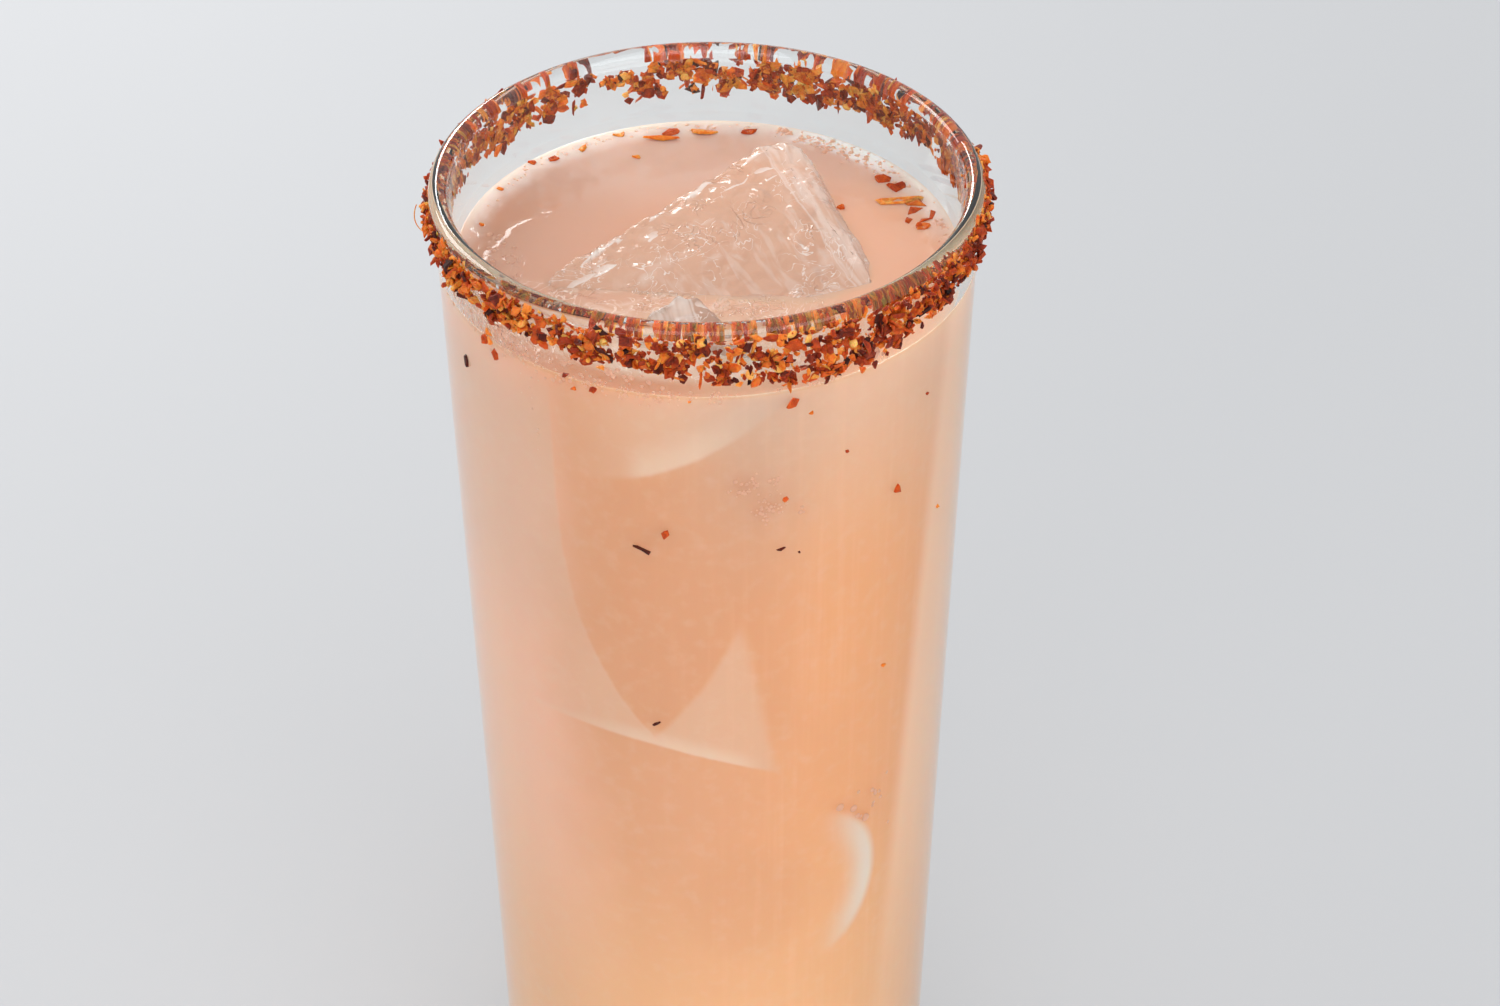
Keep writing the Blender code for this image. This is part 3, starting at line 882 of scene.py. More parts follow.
@dataclass(frozen=True)
class CloudyDrink:
    """Cloudy grapefruit drink: wet on top, softly scattering, and painted paler in the rooms of the ice."""

    crest: float
    level: float
    wall: float
    side: DrinkSide = DrinkSide()
    top: DrinkTop = DrinkTop()
    top_height: Span = (-0.35, -0.15)
    top_gap: Span = (0.4, -0.2)
    # Painted light: the paler colour of the ice's rooms, making up for the shade in them.
    pit: Colour = paint(238, 204, 182)
    pit_radius: Span = (29.0, 28.6)
    pit_height: Span = (-24.0, -23.0)
    wet: float = 0.04
    side_roughness: float = 0.5
    index: float = 1.33
    scatter: float = 0.6
    scatter_radius: Point = (1.0, 0.6, 0.4)
    scatter_scale: float = 4.0 * MM

    def make(self, name: str) -> bpy.types.Material:
        """Make the material.

        Args:
            name: Its name.

        Returns:
            The material.
        """
        board = Board(name)
        place = board.place()
        above = place.height - self.level
        on_top = above.ease(*self.top_height) * (place.radius() - self.wall).ease(*self.top_gap)
        below_top = 1.0 - on_top
        side = self.side.colour(board, place, self.crest - place.height)
        colour = board.mix(on_top, side, self.top.colour(board, place))
        # Painted light: the walls of the ice's rooms are painted paler against the shade in them.
        in_pit = place.radius().ease(*self.pit_radius) * above.ease(*self.pit_height) * below_top
        board.dress({
            "Base Color": board.mix(in_pit, colour, self.pit),
            "Roughness": below_top * self.side_roughness + self.wet,
            "IOR": self.index,
            "Subsurface Weight": self.scatter,
            "Subsurface Radius": self.scatter_radius,
            "Subsurface Scale": self.scatter_scale,
        })
        board.bump(self.top.relief(board, place) * on_top, self.top.wave)
        return board.material


CHILLI_TONES = (
    (0.0, paint(26, 7, 4)),
    (0.2, paint(78, 20, 7)),
    (0.4, paint(146, 46, 12)),
    (0.6, paint(200, 82, 20)),
    (0.8, paint(232, 132, 44)),
    (1.0, paint(248, 190, 104)),
)


@dataclass(frozen=True)
class ChilliFinish:
    """Dried chilli: a tone for each flake, mottled inside it, dry on top and a little translucent."""

    tone: float
    spread: float
    gloss: float = 0.55
    glow: float = 0.5
    mottle: Grain = Grain(1.1, 4.0, 0.8)
    mottle_reach: float = 0.55
    specular: float = 0.22
    glow_radius: Point = (1.0, 0.3, 0.1)
    glow_scale: float = 0.8 * MM
    crumple: Grain = Grain(3.5, 3.0)
    crumple_height: float = 0.2 * MM

    def make(self, name: str) -> bpy.types.Material:
        """Make the material.

        Args:
            name: Its name.

        Returns:
            The material.
        """
        board = Board(name)
        place = board.place()
        tone = (board.island() - NOISE_MIDDLE) * self.spread + self.tone
        tone = tone + board.wander(place.vector, self.mottle, self.mottle_reach)
        ramp = board.add("ShaderNodeValToRGB", {"stops": CHILLI_TONES}, {0: tone})
        board.dress({
            "Base Color": ramp.outputs[0],
            "Roughness": self.gloss,
            "Specular IOR Level": self.specular,
            "Subsurface Weight": self.glow,
            "Subsurface Radius": self.glow_radius,
            "Subsurface Scale": self.glow_scale,
        })
        board.bump(board.noise(place.vector, self.crumple), self.crumple_height)
        return board.material


@dataclass(frozen=True)
class BubbleFinish:
    """Small wet bubbles and beads of water."""

    tint: Colour = paint(232, 190, 164)
    index: float = 1.33
    clear: float = 0.5
    roughness: float = 0.3
    specular: float = 0.12

    def make(self, name: str) -> bpy.types.Material:
        """Make the material.

        Args:
            name: Its name.

        Returns:
            The material.
        """
        board = Board(name)
        board.dress({
            "Base Color": self.tint,
            "Roughness": self.roughness,
            "Specular IOR Level": self.specular,
            "IOR": self.index,
            "Transmission Weight": self.clear,
        })
        board.clear_shadow(self.tint)
        return board.material


@dataclass(frozen=True)
class PlainFloor:
    """The pale floor that the glass stands on."""

    colour: Colour = paint(186, 187, 189)
    roughness: float = 0.7

    def make(self, name: str) -> bpy.types.Material:
        """Make the material.

        Args:
            name: Its name.

        Returns:
            The material.
        """
        board = Board(name)
        board.dress({"Base Color": self.colour, "Roughness": self.roughness})
        return board.material


class Chilli(Enum):
    """The kinds of flake."""

    SKIN = "skin"
    FLESH = "flesh"
    RUST = "rust"
    SOAKED = "soaked"
    AMBER = "amber"
    DARK = "dark"
    SEED = "seed"


CHILLI_FINISHES = {
    Chilli.SKIN: ChilliFinish(0.5, 0.5),
    Chilli.FLESH: ChilliFinish(0.34, 0.3),
    Chilli.RUST: ChilliFinish(0.5, 0.12),
    Chilli.SOAKED: ChilliFinish(0.71, 0.24, 0.35, 0.8),
    Chilli.AMBER: ChilliFinish(0.74, 0.26, 0.4, 0.7),
    Chilli.DARK: ChilliFinish(0.12, 0.2, 0.55, 0.1),
    Chilli.SEED: ChilliFinish(0.88, 0.2, 0.35, 0.6),
}


def finished(piece: bpy.types.Object, material: bpy.types.Material) -> bpy.types.Object:
    """Dress a piece and let it ride on the body.

    Args:
        piece: The new piece.
        material: Its finish.

    Returns:
        The same piece.
    """
    piece.data.materials.clear()
    piece.data.materials.append(material)
    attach(piece, BODY)
    log.info("%s: %d faces", piece.name, len(piece.data.polygons))
    return piece


def linked(name: str, data: bpy.types.ID) -> bpy.types.Object:
    """A new object in the scene for a mesh, lamp or camera."""
    made = bpy.data.objects.new(name, data)
    bpy.context.scene.collection.objects.link(made)
    return made


def mesh_piece(name: str, shape: Shape, smooth: bool) -> bpy.types.Object:
    """Make an object from points in millimetres.

    Args:
        name: The piece's name.
        shape: Its points, and the points' numbers for each face.
        smooth: Whether it is shaded smooth.

    Returns:
        The new object, linked to the scene.
    """
    points, faces = shape
    mesh = bpy.data.meshes.new(name)
    mesh.from_pydata([(x * MM, y * MM, z * MM) for x, y, z in points], [], faces)
    mesh.update()
    if smooth:
        mesh.shade_smooth()
    return linked(name, mesh)


def mesh_object(name: str, bm: bmesh.types.BMesh) -> bpy.types.Object:
    """Turn a mesh in millimetres into an object, and free it.

    Args:
        name: The object's name.
        bm: The mesh.

    Returns:
        The new object, linked to the scene.
    """
    bmesh.ops.scale(bm, vec=(MM, MM, MM), verts=bm.verts)
    mesh = bpy.data.meshes.new(name)
    bm.to_mesh(mesh)
    bm.free()
    return linked(name, mesh)


def turned(outline: Sequence[Pair], segments: int) -> Shape:
    """A closed body of revolution from an outline that starts and ends on the axis.

    Args:
        outline: Radius and height of each point, outside first, from the bottom.
        segments: Steps round the axis.

    Returns:
        Its points and faces.
    """
    points = []
    for radius, height in outline[1:-1]:
        for i in range(segments):
            turn = 2 * math.pi * i / segments
            points.append((radius * math.sin(turn), -radius * math.cos(turn), height))
    faces = []
    rings = len(outline) - 2
    for ring in range(rings - 1):
        for i in range(segments):
            j = (i + 1) % segments
            low, high = ring * segments, (ring + 1) * segments
            faces.append((low + i, low + j, high + j, high + i))
    for pole, ring, flip in ((outline[0], 0, True), (outline[-1], rings - 1, False)):
        tip = len(points)
        points.append((0.0, 0.0, pole[1]))
        for i in range(segments):
            j = (i + 1) % segments
            corner = (ring * segments + i, ring * segments + j)
            faces.append((tip, corner[1], corner[0]) if flip else (tip, corner[0], corner[1]))
    return points, faces


def arc(centre: Pair, radius: float, start: float, end: float, steps: int) -> list[Pair]:
    """Points along an arc of a section.

    Args:
        centre: Its centre's radius and height.
        radius: Its radius.
        start: First angle in degrees from outward.
        end: Last angle.
        steps: How many steps.

    Returns:
        Radius and height of each point.
    """
    points = []
    for step in range(steps + 1):
        angle = math.radians(start + (end - start) * step / steps)
        points.append((centre[0] + radius * math.cos(angle), centre[1] + radius * math.sin(angle)))
    return points


def plan(azimuth: float, radius: float) -> Pair:
    """X and Y at an azimuth and a distance from the axis."""
    turn = math.radians(azimuth)
    return radius * math.sin(turn), -radius * math.cos(turn)


def wall_axes(azimuth: float) -> Matrix:
    """A turn that lays X along the wall, Y up and Z out of it."""
    turn = math.radians(azimuth)
    outward = Vector((math.sin(turn), -math.cos(turn), 0.0))
    along = Vector((math.cos(turn), math.sin(turn), 0.0))
    return Matrix((along, Vector((0.0, 0.0, 1.0)), outward)).transposed()


def placed(centre: Vector, spin: Matrix) -> Placer:
    """A function that turns a point and moves it to a centre."""
    return lambda point: centre + spin @ point


def hump(value: float, centre: float, width: float) -> float:
    """A smooth hump of height 1."""
    return math.exp(-((value - centre) / width) ** 2)


def behind(azimuth: float) -> float:
    """How far round at the back: 0 in the front half, 1 right behind."""
    return max(0.0, -math.cos(math.radians(azimuth)))


def level_noise(first: float, second: float, third: float) -> float:
    """Noise round 0 at three coordinates."""
    return noise.noise(Vector((first, second, third)))


@dataclass
class Tumbler:
    """The tapered glass. Sizes are millimetres, depths run down from the lip's crest."""

    crest: float
    lip_radius: float = 33.0
    lip_thickness: float = 2.3
    lip_arc: tuple[int, int, int] = (-28, 208, 26)
    waist: float = 1.47
    waist_inset: float = 0.14
    lining_inset: float = 1.88
    wall: float = 2.2
    top_radius: float = 32.6
    taper: float = 0.0248
    ease: float = 0.00002
    blend_depth: float = 3.4
    outside_end: float = 12.0
    inside_end: float = 24.0
    wall_steps: int = 15
    wall_crowding: float = 1.2
    floor: float = 10.0
    floor_corner: float = 6.0
    foot_corner: float = 2.5
    corner_steps: tuple[int, int] = (10, 12)
    punt_radius: float = 21.0
    punt_depth: float = 1.2
    punt_shares: tuple[float, ...] = (0.2, 0.4, 0.6, 0.8, 0.93)
    segments: int = 256

    @property
    def half(self) -> float:
        """Half the lip's thickness."""
        return self.lip_thickness / 2

    @property
    def waist_depth(self) -> float:
        """Depth where the lip's round ends and its blend into the wall begins."""
        return self.half * self.waist

    def outer(self, depth: float) -> float:
        """Outside radius of the wall."""
        return self.top_radius - self.taper * depth + self.ease * depth * depth

    def inner(self, depth: float) -> float:
        """Inside radius of the wall."""
        return self.outer(depth) - self.wall

    def seat(self, depth: float) -> float:
        """Radius of the outside surface that flakes cling to, lip included."""
        if depth >= self.blend_depth:
            return self.outer(depth)
        if depth < self.waist_depth:
            drop = depth - self.half
            return self.lip_radius - self.half + math.sqrt(max(0.0, self.half * self.half - drop * drop))
        share = (depth - self.waist_depth) / (self.blend_depth - self.waist_depth)
        return blend_number(self.lip_radius - self.waist_inset, self.outer(self.blend_depth), share)

    def lining(self, depth: float) -> float:
        """Radius of the lip's inside surface near the crest."""
        if depth < self.waist_depth:
            drop = depth - self.half
            return self.lip_radius - self.half - math.sqrt(max(0.0, self.half * self.half - drop * drop))
        share = min(1.0, (depth - self.waist_depth) / (self.blend_depth - self.waist_depth))
        waist = self.lip_radius - self.half * self.lining_inset
        return blend_number(waist, self.inner(self.blend_depth), share)

    def on_wall(self, azimuth: float, depth: float, proud: float = 0.0) -> Vector:
        """A point on the outside surface, or out from it."""
        return Vector((*plan(azimuth, self.seat(depth) + proud), self.crest - depth))

    def wall_depths(self, end: float) -> list[float]:
        """Depths down the wall to a height above the table, closer together near the lip."""
        reach = self.crest - end - self.blend_depth
        shares = [step / self.wall_steps for step in range(self.wall_steps + 1)]
        return [self.blend_depth + reach * share ** self.wall_crowding for share in shares]

    def floor_centre(self) -> Pair:
        """Centre of the rounded corner between the wall's inside and the floor."""
        height = self.floor + self.floor_corner
        return self.inner(self.crest - height) - self.floor_corner, height

    def outline(self) -> list[Pair]:
        """Its section from the punt, up the outside, over the lip and down the inside."""
        foot_steps, floor_steps = self.corner_steps
        foot_centre = (self.outer(self.crest) - self.foot_corner, self.foot_corner)
        points = [(0.0, self.punt_depth)]
        for share in self.punt_shares:
            points.append((self.punt_radius * share, self.punt_depth * (1 - share ** 3)))
        points.append((self.punt_radius, 0.0))
        points += arc(foot_centre, self.foot_corner, -90, 0, foot_steps)
        for depth in reversed(self.wall_depths(self.outside_end)):
            points.append((self.outer(depth), self.crest - depth))
        points += arc((self.lip_radius - self.half, self.crest - self.half), self.half, *self.lip_arc)
        for depth in self.wall_depths(self.inside_end)[:-1]:
            points.append((self.inner(depth), self.crest - depth))
        points += arc(self.floor_centre(), self.floor_corner, 0, -90, floor_steps)
        points.append((0.0, self.floor))
        return points

    def build(self) -> bpy.types.Object:
        """Build and dress the glass."""
        piece = mesh_piece("clear_glass", turned(self.outline(), self.segments), True)
        finished(piece, ClearGlass().make("clear glass"))
        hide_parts("glass")
        return piece


@dataclass
class Drink:
    """The drink up to its level. It reaches a little into the wall, so that no air gap shows."""

    glass: Tumbler
    level: float
    reach: float = 0.2
    meniscus_rise: float = 0.16
    meniscus_width: float = 1.2
    meniscus_fall: float = 2.6
    meniscus_trim: float = 0.01
    ripple: float = 0.05
    ripple_scale: float = 0.22
    ripple_place: float = 3.0
    overlap: float = 0.15
    sharp_angle: float = 50.0
    segments: int = 256
    side_steps: int = 28
    corner_steps: int = 12
    rings: int = 46
    ring_crowding: float = 1.6

    @property
    def level_depth(self) -> float:
        """The level's depth below the lip's crest."""
        return self.glass.crest - self.level

    def radius(self, depth: float) -> float:
        """Radius of its side."""
        return self.glass.inner(depth) + self.reach

    def surface_height(self, x: float, y: float) -> float:
        """Height of its surface, with the meniscus at the wall and slow ripples.

        Args:
            x: Millimetres from the axis.
            y: Millimetres from the axis.

        Returns:
            The height in millimetres.
        """
        gap = max(0.0, (self.glass.inner(self.level_depth) - math.hypot(x, y)) / self.meniscus_width)
        climb = self.meniscus_rise * math.exp(-gap * self.meniscus_fall)
        wave = self.ripple * level_noise(x * self.ripple_scale, y * self.ripple_scale, self.ripple_place)
        return self.level + climb + wave

    def outline(self) -> list[Pair]:
        """Its section up to the meniscus, and its level surface to the axis."""
        glass = self.glass
        centre = glass.floor_centre()
        points = [(0.0, glass.floor - self.reach)]
        points += arc(centre, glass.floor_corner + self.reach, -90, 0, self.corner_steps)
        top = self.level_depth - self.meniscus_rise
        for step in range(1, self.side_steps + 1):
            depth = blend_number(glass.crest - centre[1], top, step / self.side_steps)
            points.append((self.radius(depth), glass.crest - depth))
        for ring in range(1, self.rings):
            share = ring / self.rings
            points.append((self.radius(top) * (1 - share ** self.ring_crowding), self.level))
        points.append((0.0, self.level))
        return points

    def hollow(self, piece: bpy.types.Object, lumps: Sequence["IceLump"]) -> None:
        """Cut the room for the ice, a little too small so that no air shows between them.

        Args:
            piece: The drink.
            lumps: The lumps of ice.
        """
        for lump in lumps:
            cutter = mesh_object("ice room", lump.form(-self.overlap))
            cut = piece.modifiers.new("ice room", "BOOLEAN")
            cut.operation = "DIFFERENCE"
            cut.object = cutter
            cut.solver = "EXACT"
            bpy.context.view_layer.objects.active = piece
            bpy.ops.object.modifier_apply(modifier=cut.name)
            bpy.data.objects.remove(cutter, do_unlink=True)
        piece.data.set_sharp_from_angle(angle=math.radians(self.sharp_angle))

    def build(self, lumps: Sequence["IceLump"]) -> bpy.types.Object:
        """Build and dress the drink round the lumps of ice."""
        points, faces = turned(self.outline(), self.segments)
        edge = self.level + self.meniscus_rise - self.meniscus_trim
        shaped = []
        for x, y, z in points:
            on_top = math.isclose(z, self.level, rel_tol=0.0, abs_tol=1e-6)
            shaped.append((x, y, min(self.surface_height(x, y), edge)) if on_top else (x, y, z))
        piece = mesh_piece("cloudy_drink", (shaped, faces), True)
        self.hollow(piece, lumps)
        finish = CloudyDrink(self.glass.crest, self.level, self.glass.inner(self.level_depth))
        finished(piece, finish.make("cloudy drink"))
        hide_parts("drink")
        return piece


@dataclass
class IceLump:
    """A lump of melting ice: the hull of a few corners, softened, dented and rippled.

    The first two corners are the ends of its ridge. Each kind of dent has its waves for each millimetre and,
    past the broadest, its height as a share of theirs.
    """

    name: str
    node: str
    level: float
    corners: Sequence[Point]
    seed: float = 1.0
    finish: WetIce = WetIce()
    flat_angle: float = 4.0
    edge: float = 1.0
    edge_steps: int = 4
    cell: float = 0.5
    most_rounds: int = 7
    waterline: Span = (-0.2, 0.7)
    dent: float = 0.5
    dent_scale: float = 0.14
    wave_scale: float = 0.42
    wave_share: float = 0.55
    pit_scale: float = 0.8
    pit_share: float = 0.3
    scallop: float = 0.4
    scallop_scale: float = 0.75
    scallop_reach: float = 5.0

    def form(self, spread: float) -> bmesh.types.BMesh:
        """The lump's plain form.

        Args:
            spread: Millimetres that it is grown by.

        Returns:
            The form, in millimetres.
        """
        bm = bmesh.new()
        for x, y, above in self.corners:
            bm.verts.new((x, y, self.level + above))
        hull = bmesh.ops.convex_hull(bm, input=bm.verts)
        loose = [item for item in hull["geom_interior"] if isinstance(item, bmesh.types.BMVert)]
        bmesh.ops.delete(bm, geom=loose, context="VERTS")
        flat = math.radians(self.flat_angle)
        bmesh.ops.dissolve_limit(bm, angle_limit=flat, verts=bm.verts, edges=bm.edges)
        bmesh.ops.bevel(
            bm,
            geom=list(bm.edges),
            offset=self.edge,
            segments=self.edge_steps,
            profile=0.5,
            affect="EDGES",
            clamp_overlap=True,
        )
        bmesh.ops.triangulate(bm, faces=bm.faces)
        bmesh.ops.recalc_face_normals(bm, faces=bm.faces)
        bm.normal_update()
        moved = [(vert, vert.co + vert.normal * spread) for vert in bm.verts]
        for vert, place in moved:
            vert.co = place
        return bm

    def build(self) -> bpy.types.Object:
        """Build and dress the lump."""
        bm = self.form(0.0)
        for _ in range(self.most_rounds):
            long_edges = [edge for edge in bm.edges if edge.calc_length() > self.cell]
            if not long_edges:
                break
            bmesh.ops.subdivide_edges(bm, edges=long_edges, cuts=1)
            bmesh.ops.triangulate(bm, faces=bm.faces)
        bmesh.ops.recalc_face_normals(bm, faces=bm.faces)
        bm.normal_update()
        self.ripple(bm)
        piece = mesh_object(self.name, bm)
        piece.data.shade_smooth()
        finished(piece, self.finish.make("wet ice " + self.name))
        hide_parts(self.node)
        return piece

    def waves(self, point: Vector, scale: float, seeded: Point) -> float:
        """Noise round 0 at a point, moved by the seed along some axes."""
        return noise.noise(point * scale + Vector(seeded) * self.seed)

    def ripple(self, bm: bmesh.types.BMesh) -> None:
        """Melt what stands out of the drink into shallow dents, waves and small pits."""
        under, over = self.waterline
        start, end = Vector(self.corners[0]).to_2d(), Vector(self.corners[1]).to_2d()
        ridge = (end - start).normalized()
        moved = []
        for vert in bm.verts:
            clear = min(1.0, max(0.0, (vert.co.z - self.level - under) / (over - under)))
            near = hump((vert.co.to_2d() - start).cross(ridge), 0.0, self.scallop_reach)
            broad = self.waves(vert.co, self.dent_scale, (1.0, 0.0, 0.0)) * self.dent
            waves = self.waves(vert.co, self.wave_scale, (0.0, 1.0, 0.0)) * self.dent * self.wave_share
            pits = abs(self.waves(vert.co, self.pit_scale, (0.0, 0.0, 1.0))) * self.dent * self.pit_share
            scallops = self.waves(vert.co, self.scallop_scale, (1.0, 1.0, 0.0)) * self.scallop * near
            moved.append(vert.co + vert.normal * (broad + waves - pits + scallops) * clear)
        for vert, place in zip(bm.verts, moved):
            vert.co = place


@dataclass(frozen=True)
class ChipShape:
    """A thin, angular, crumpled chip with its flat side in XY. Sizes are millimetres."""

    length: float
    width: float
    thickness: float
    side_counts: tuple[int, ...] = (4, 5, 5, 6, 7, 8)
    curl: float = 0.35
    least_curled: float = 0.5
    corner_shift: float = 0.38
    reach: Span = (0.6, 1.15)
    slimmer: Span = (0.7, 0.98)
    crumple: float = 0.16
    rim_crumple: float = 0.6
    rim_thickness: Span = (0.5, 1.4)

    def rim(self, draw: random.Random) -> list[Point]:
        """Its uneven outline, bent by its curl.

        Args:
            draw: The random draw.

        Returns:
            Its corners.
        """
        sides = draw.choice(self.side_counts)
        start = draw.uniform(0, 2 * math.pi)
        bend = draw.uniform(-self.curl, self.curl) / max(self.length, self.least_curled)
        corners = []
        for i in range(sides):
            turn = start + 2 * math.pi * (i + draw.uniform(-self.corner_shift, self.corner_shift)) / sides
            reach = draw.uniform(*self.reach) / 2
            x, y = reach * self.length * math.cos(turn), reach * self.width * math.sin(turn)
            corners.append((x, y, bend * x * x))
        return corners

    def make(self, draw: random.Random) -> Shape:
        """Make one.

        Args:
            draw: The random draw.

        Returns:
            Its points and faces.
        """
        rim = self.rim(draw)
        half = self.thickness / 2
        slim = draw.uniform(*self.slimmer)
        crumple = self.crumple * math.sqrt(self.length * self.width)
        points = []
        for x, y, bent in rim:
            fold = bent + draw.uniform(-crumple, crumple) * self.rim_crumple
            points.append((x, y, fold - half))
            points.append((x * slim, y * slim, fold + half * draw.uniform(*self.rim_thickness)))
        lift = draw.uniform(-crumple, crumple)
        points.append((0.0, 0.0, lift - half))
        points.append((0.0, 0.0, lift + half))
        under, over = 2 * len(rim), 2 * len(rim) + 1
        faces = []
        for i in range(len(rim)):
            here, after = 2 * i, 2 * ((i + 1) % len(rim))
            faces.append((under, after, here))
            faces.append((over, here + 1, after + 1))
            faces.append((here, after, after + 1, here + 1))
        return points, faces


@dataclass(frozen=True)
class SeedShape:
    """A flat round seed, flat in XY. Its length is in millimetres."""

    length: float
    squash: Span = (0.3, 0.45)
    narrow: Span = (0.75, 0.95)
    segments: int = 10

    def make(self, draw: random.Random) -> Shape:
        """Make one.

        Args:
            draw: The random draw.

        Returns:
            Its points and faces.
        """
        height = self.length * draw.uniform(*self.squash)
        width = self.length * draw.uniform(*self.narrow)
        outline = [(0.0, -0.5)] + arc((0.0, 0.0), 0.5, -60, 60, 4) + [(0.0, 0.5)]
        points, faces = turned(outline, self.segments)
        return [(x * self.length, y * width, z * height) for x, y, z in points], faces


@dataclass
class Flakes:
    """Loose flakes gathered by kind, to be joined into one piece for each kind."""

    draw: random.Random
    points: dict[Chilli, list[Point]] = field(default_factory=dict)
    faces: dict[Chilli, list[tuple[int, ...]]] = field(default_factory=dict)

    def add(self, kind: Chilli, shape: "ChipShape | SeedShape", place: Placer) -> None:
        """Add one flake.

        Args:
            kind: Its colour.
            shape: Makes its own points and faces.
            place: Puts one of its points in the object.
        """
        points, faces = shape.make(self.draw)
        held = self.points.setdefault(kind, [])
        start = len(held)
        held.extend(tuple(place(Vector(point))) for point in points)
        self.faces.setdefault(kind, []).extend(tuple(start + i for i in face) for face in faces)

    def join(self, prefix: str) -> list[bpy.types.Object]:
        """Make one dressed piece for each kind.

        Args:
            prefix: The start of the pieces' names.

        Returns:
            The pieces.
        """
        made = []
        for kind, points in self.points.items():
            name = f"{prefix}_{kind.value}"
            piece = mesh_piece(name, (points, self.faces[kind]), kind is Chilli.SEED)
            made.append(finished(piece, CHILLI_FINISHES[kind].make(name.replace("_", " "))))
        return made


@dataclass(frozen=True)
class KindShare:
    """How common a kind of flake is: evenly, and what is added in painted shade and in painted light."""

    even: float
    painted_shade: float = 0.0
    painted_light: float = 0.0


DRY_KINDS = {
    Chilli.SKIN: KindShare(0.5, -0.16),
    Chilli.FLESH: KindShare(0.24, 0.16, -0.12),
    Chilli.AMBER: KindShare(0.16, -0.04, 0.3),
    Chilli.DARK: KindShare(0.03, 0.06),
    Chilli.SEED: KindShare(0.02),
}
WETTED_KINDS = {
    Chilli.SKIN: KindShare(0.5, -0.16),
    Chilli.FLESH: KindShare(0.08, 0.16),
    Chilli.AMBER: KindShare(0.4, 0.0, 0.3),
    Chilli.DARK: KindShare(0.0),
    Chilli.SEED: KindShare(0.02),
}


@dataclass(frozen=True)
class FlakeLayer:
    """One layer of the crust: its count, and how its flakes stand out, lean and spread in size and kind."""

    count: int
    proud: Span
    lean: float
    shortest: float
    longest: float
    shares: Span
    kinds: dict[Chilli, KindShare]


@dataclass(frozen=True)
class FlakeSizes:
    """The spread of the flakes' sizes. Slivers are a share longer and narrower than other chips."""

    tail: float = 1.7
    longer_behind: float = 0.25
    thickness: Span = (0.16, 0.42)
    width: Span = (0.5, 0.95)
    seed: Span = (0.8, 1.4)
    sliver_chance: float = 0.08
    sliver_length: float = 1.6
    sliver_width: float = 0.28

    def draw_shape(self, draw: random.Random, kind: Chilli, length: float, thickness: float) -> object:
        """Draw a flake's shape.

        Args:
            draw: The random draw.
            kind: The flake's kind.
            length: Its length.
            thickness: Its thickness.

        Returns:
            The shape of a seed, a sliver or a chip.
        """
        if kind is Chilli.SEED:
            return SeedShape(draw.uniform(*self.seed))
        if draw.random() < self.sliver_chance:
            return ChipShape(length * self.sliver_length, length * self.sliver_width, thickness)
        return ChipShape(length, length * draw.uniform(*self.width), thickness)


@dataclass(frozen=True)
class LipLining:
    """Small flakes stuck inside the front of the lip, where the round glass stretches them into stripes."""

    count: int = 600
    span: tuple[float, float, float] = (-80.0, 98.0, 40.0)
    depth: Span = (1.5, 2.75)
    clear_lip: float = -24.0
    clear_bare: float = 0.2
    bare: float = -0.14
    bare_slope: float = -0.003
    patch_scale: float = 0.3
    proud: float = 0.02
    length: Span = (0.5, 1.15)
    width: Span = (0.4, 0.8)
    thickness: float = 0.2
    kinds: tuple[Chilli, ...] = (Chilli.RUST, Chilli.SOAKED, Chilli.SOAKED, Chilli.SOAKED)

    def stick(self, flakes: Flakes, glass: Tumbler) -> None:
        """Stick them on.

        Args:
            flakes: Where the flakes are gathered.
            glass: The glass.
        """
        draw = flakes.draw
        for _ in range(self.count):
            azimuth = draw.triangular(*self.span)
            depth = draw.uniform(*self.depth)
            bare = (self.clear_bare if azimuth < self.clear_lip else self.bare) + azimuth * self.bare_slope
            if level_noise(azimuth * self.patch_scale, 2.0, 5.0) < bare:
                continue
            radius = glass.lining(depth) + self.proud
            centre = Vector((*plan(azimuth, radius), glass.crest - depth))
            shape = ChipShape(draw.uniform(*self.length), draw.uniform(*self.width), self.thickness)
            flakes.add(draw.choice(self.kinds), shape, placed(centre, wall_axes(azimuth)))


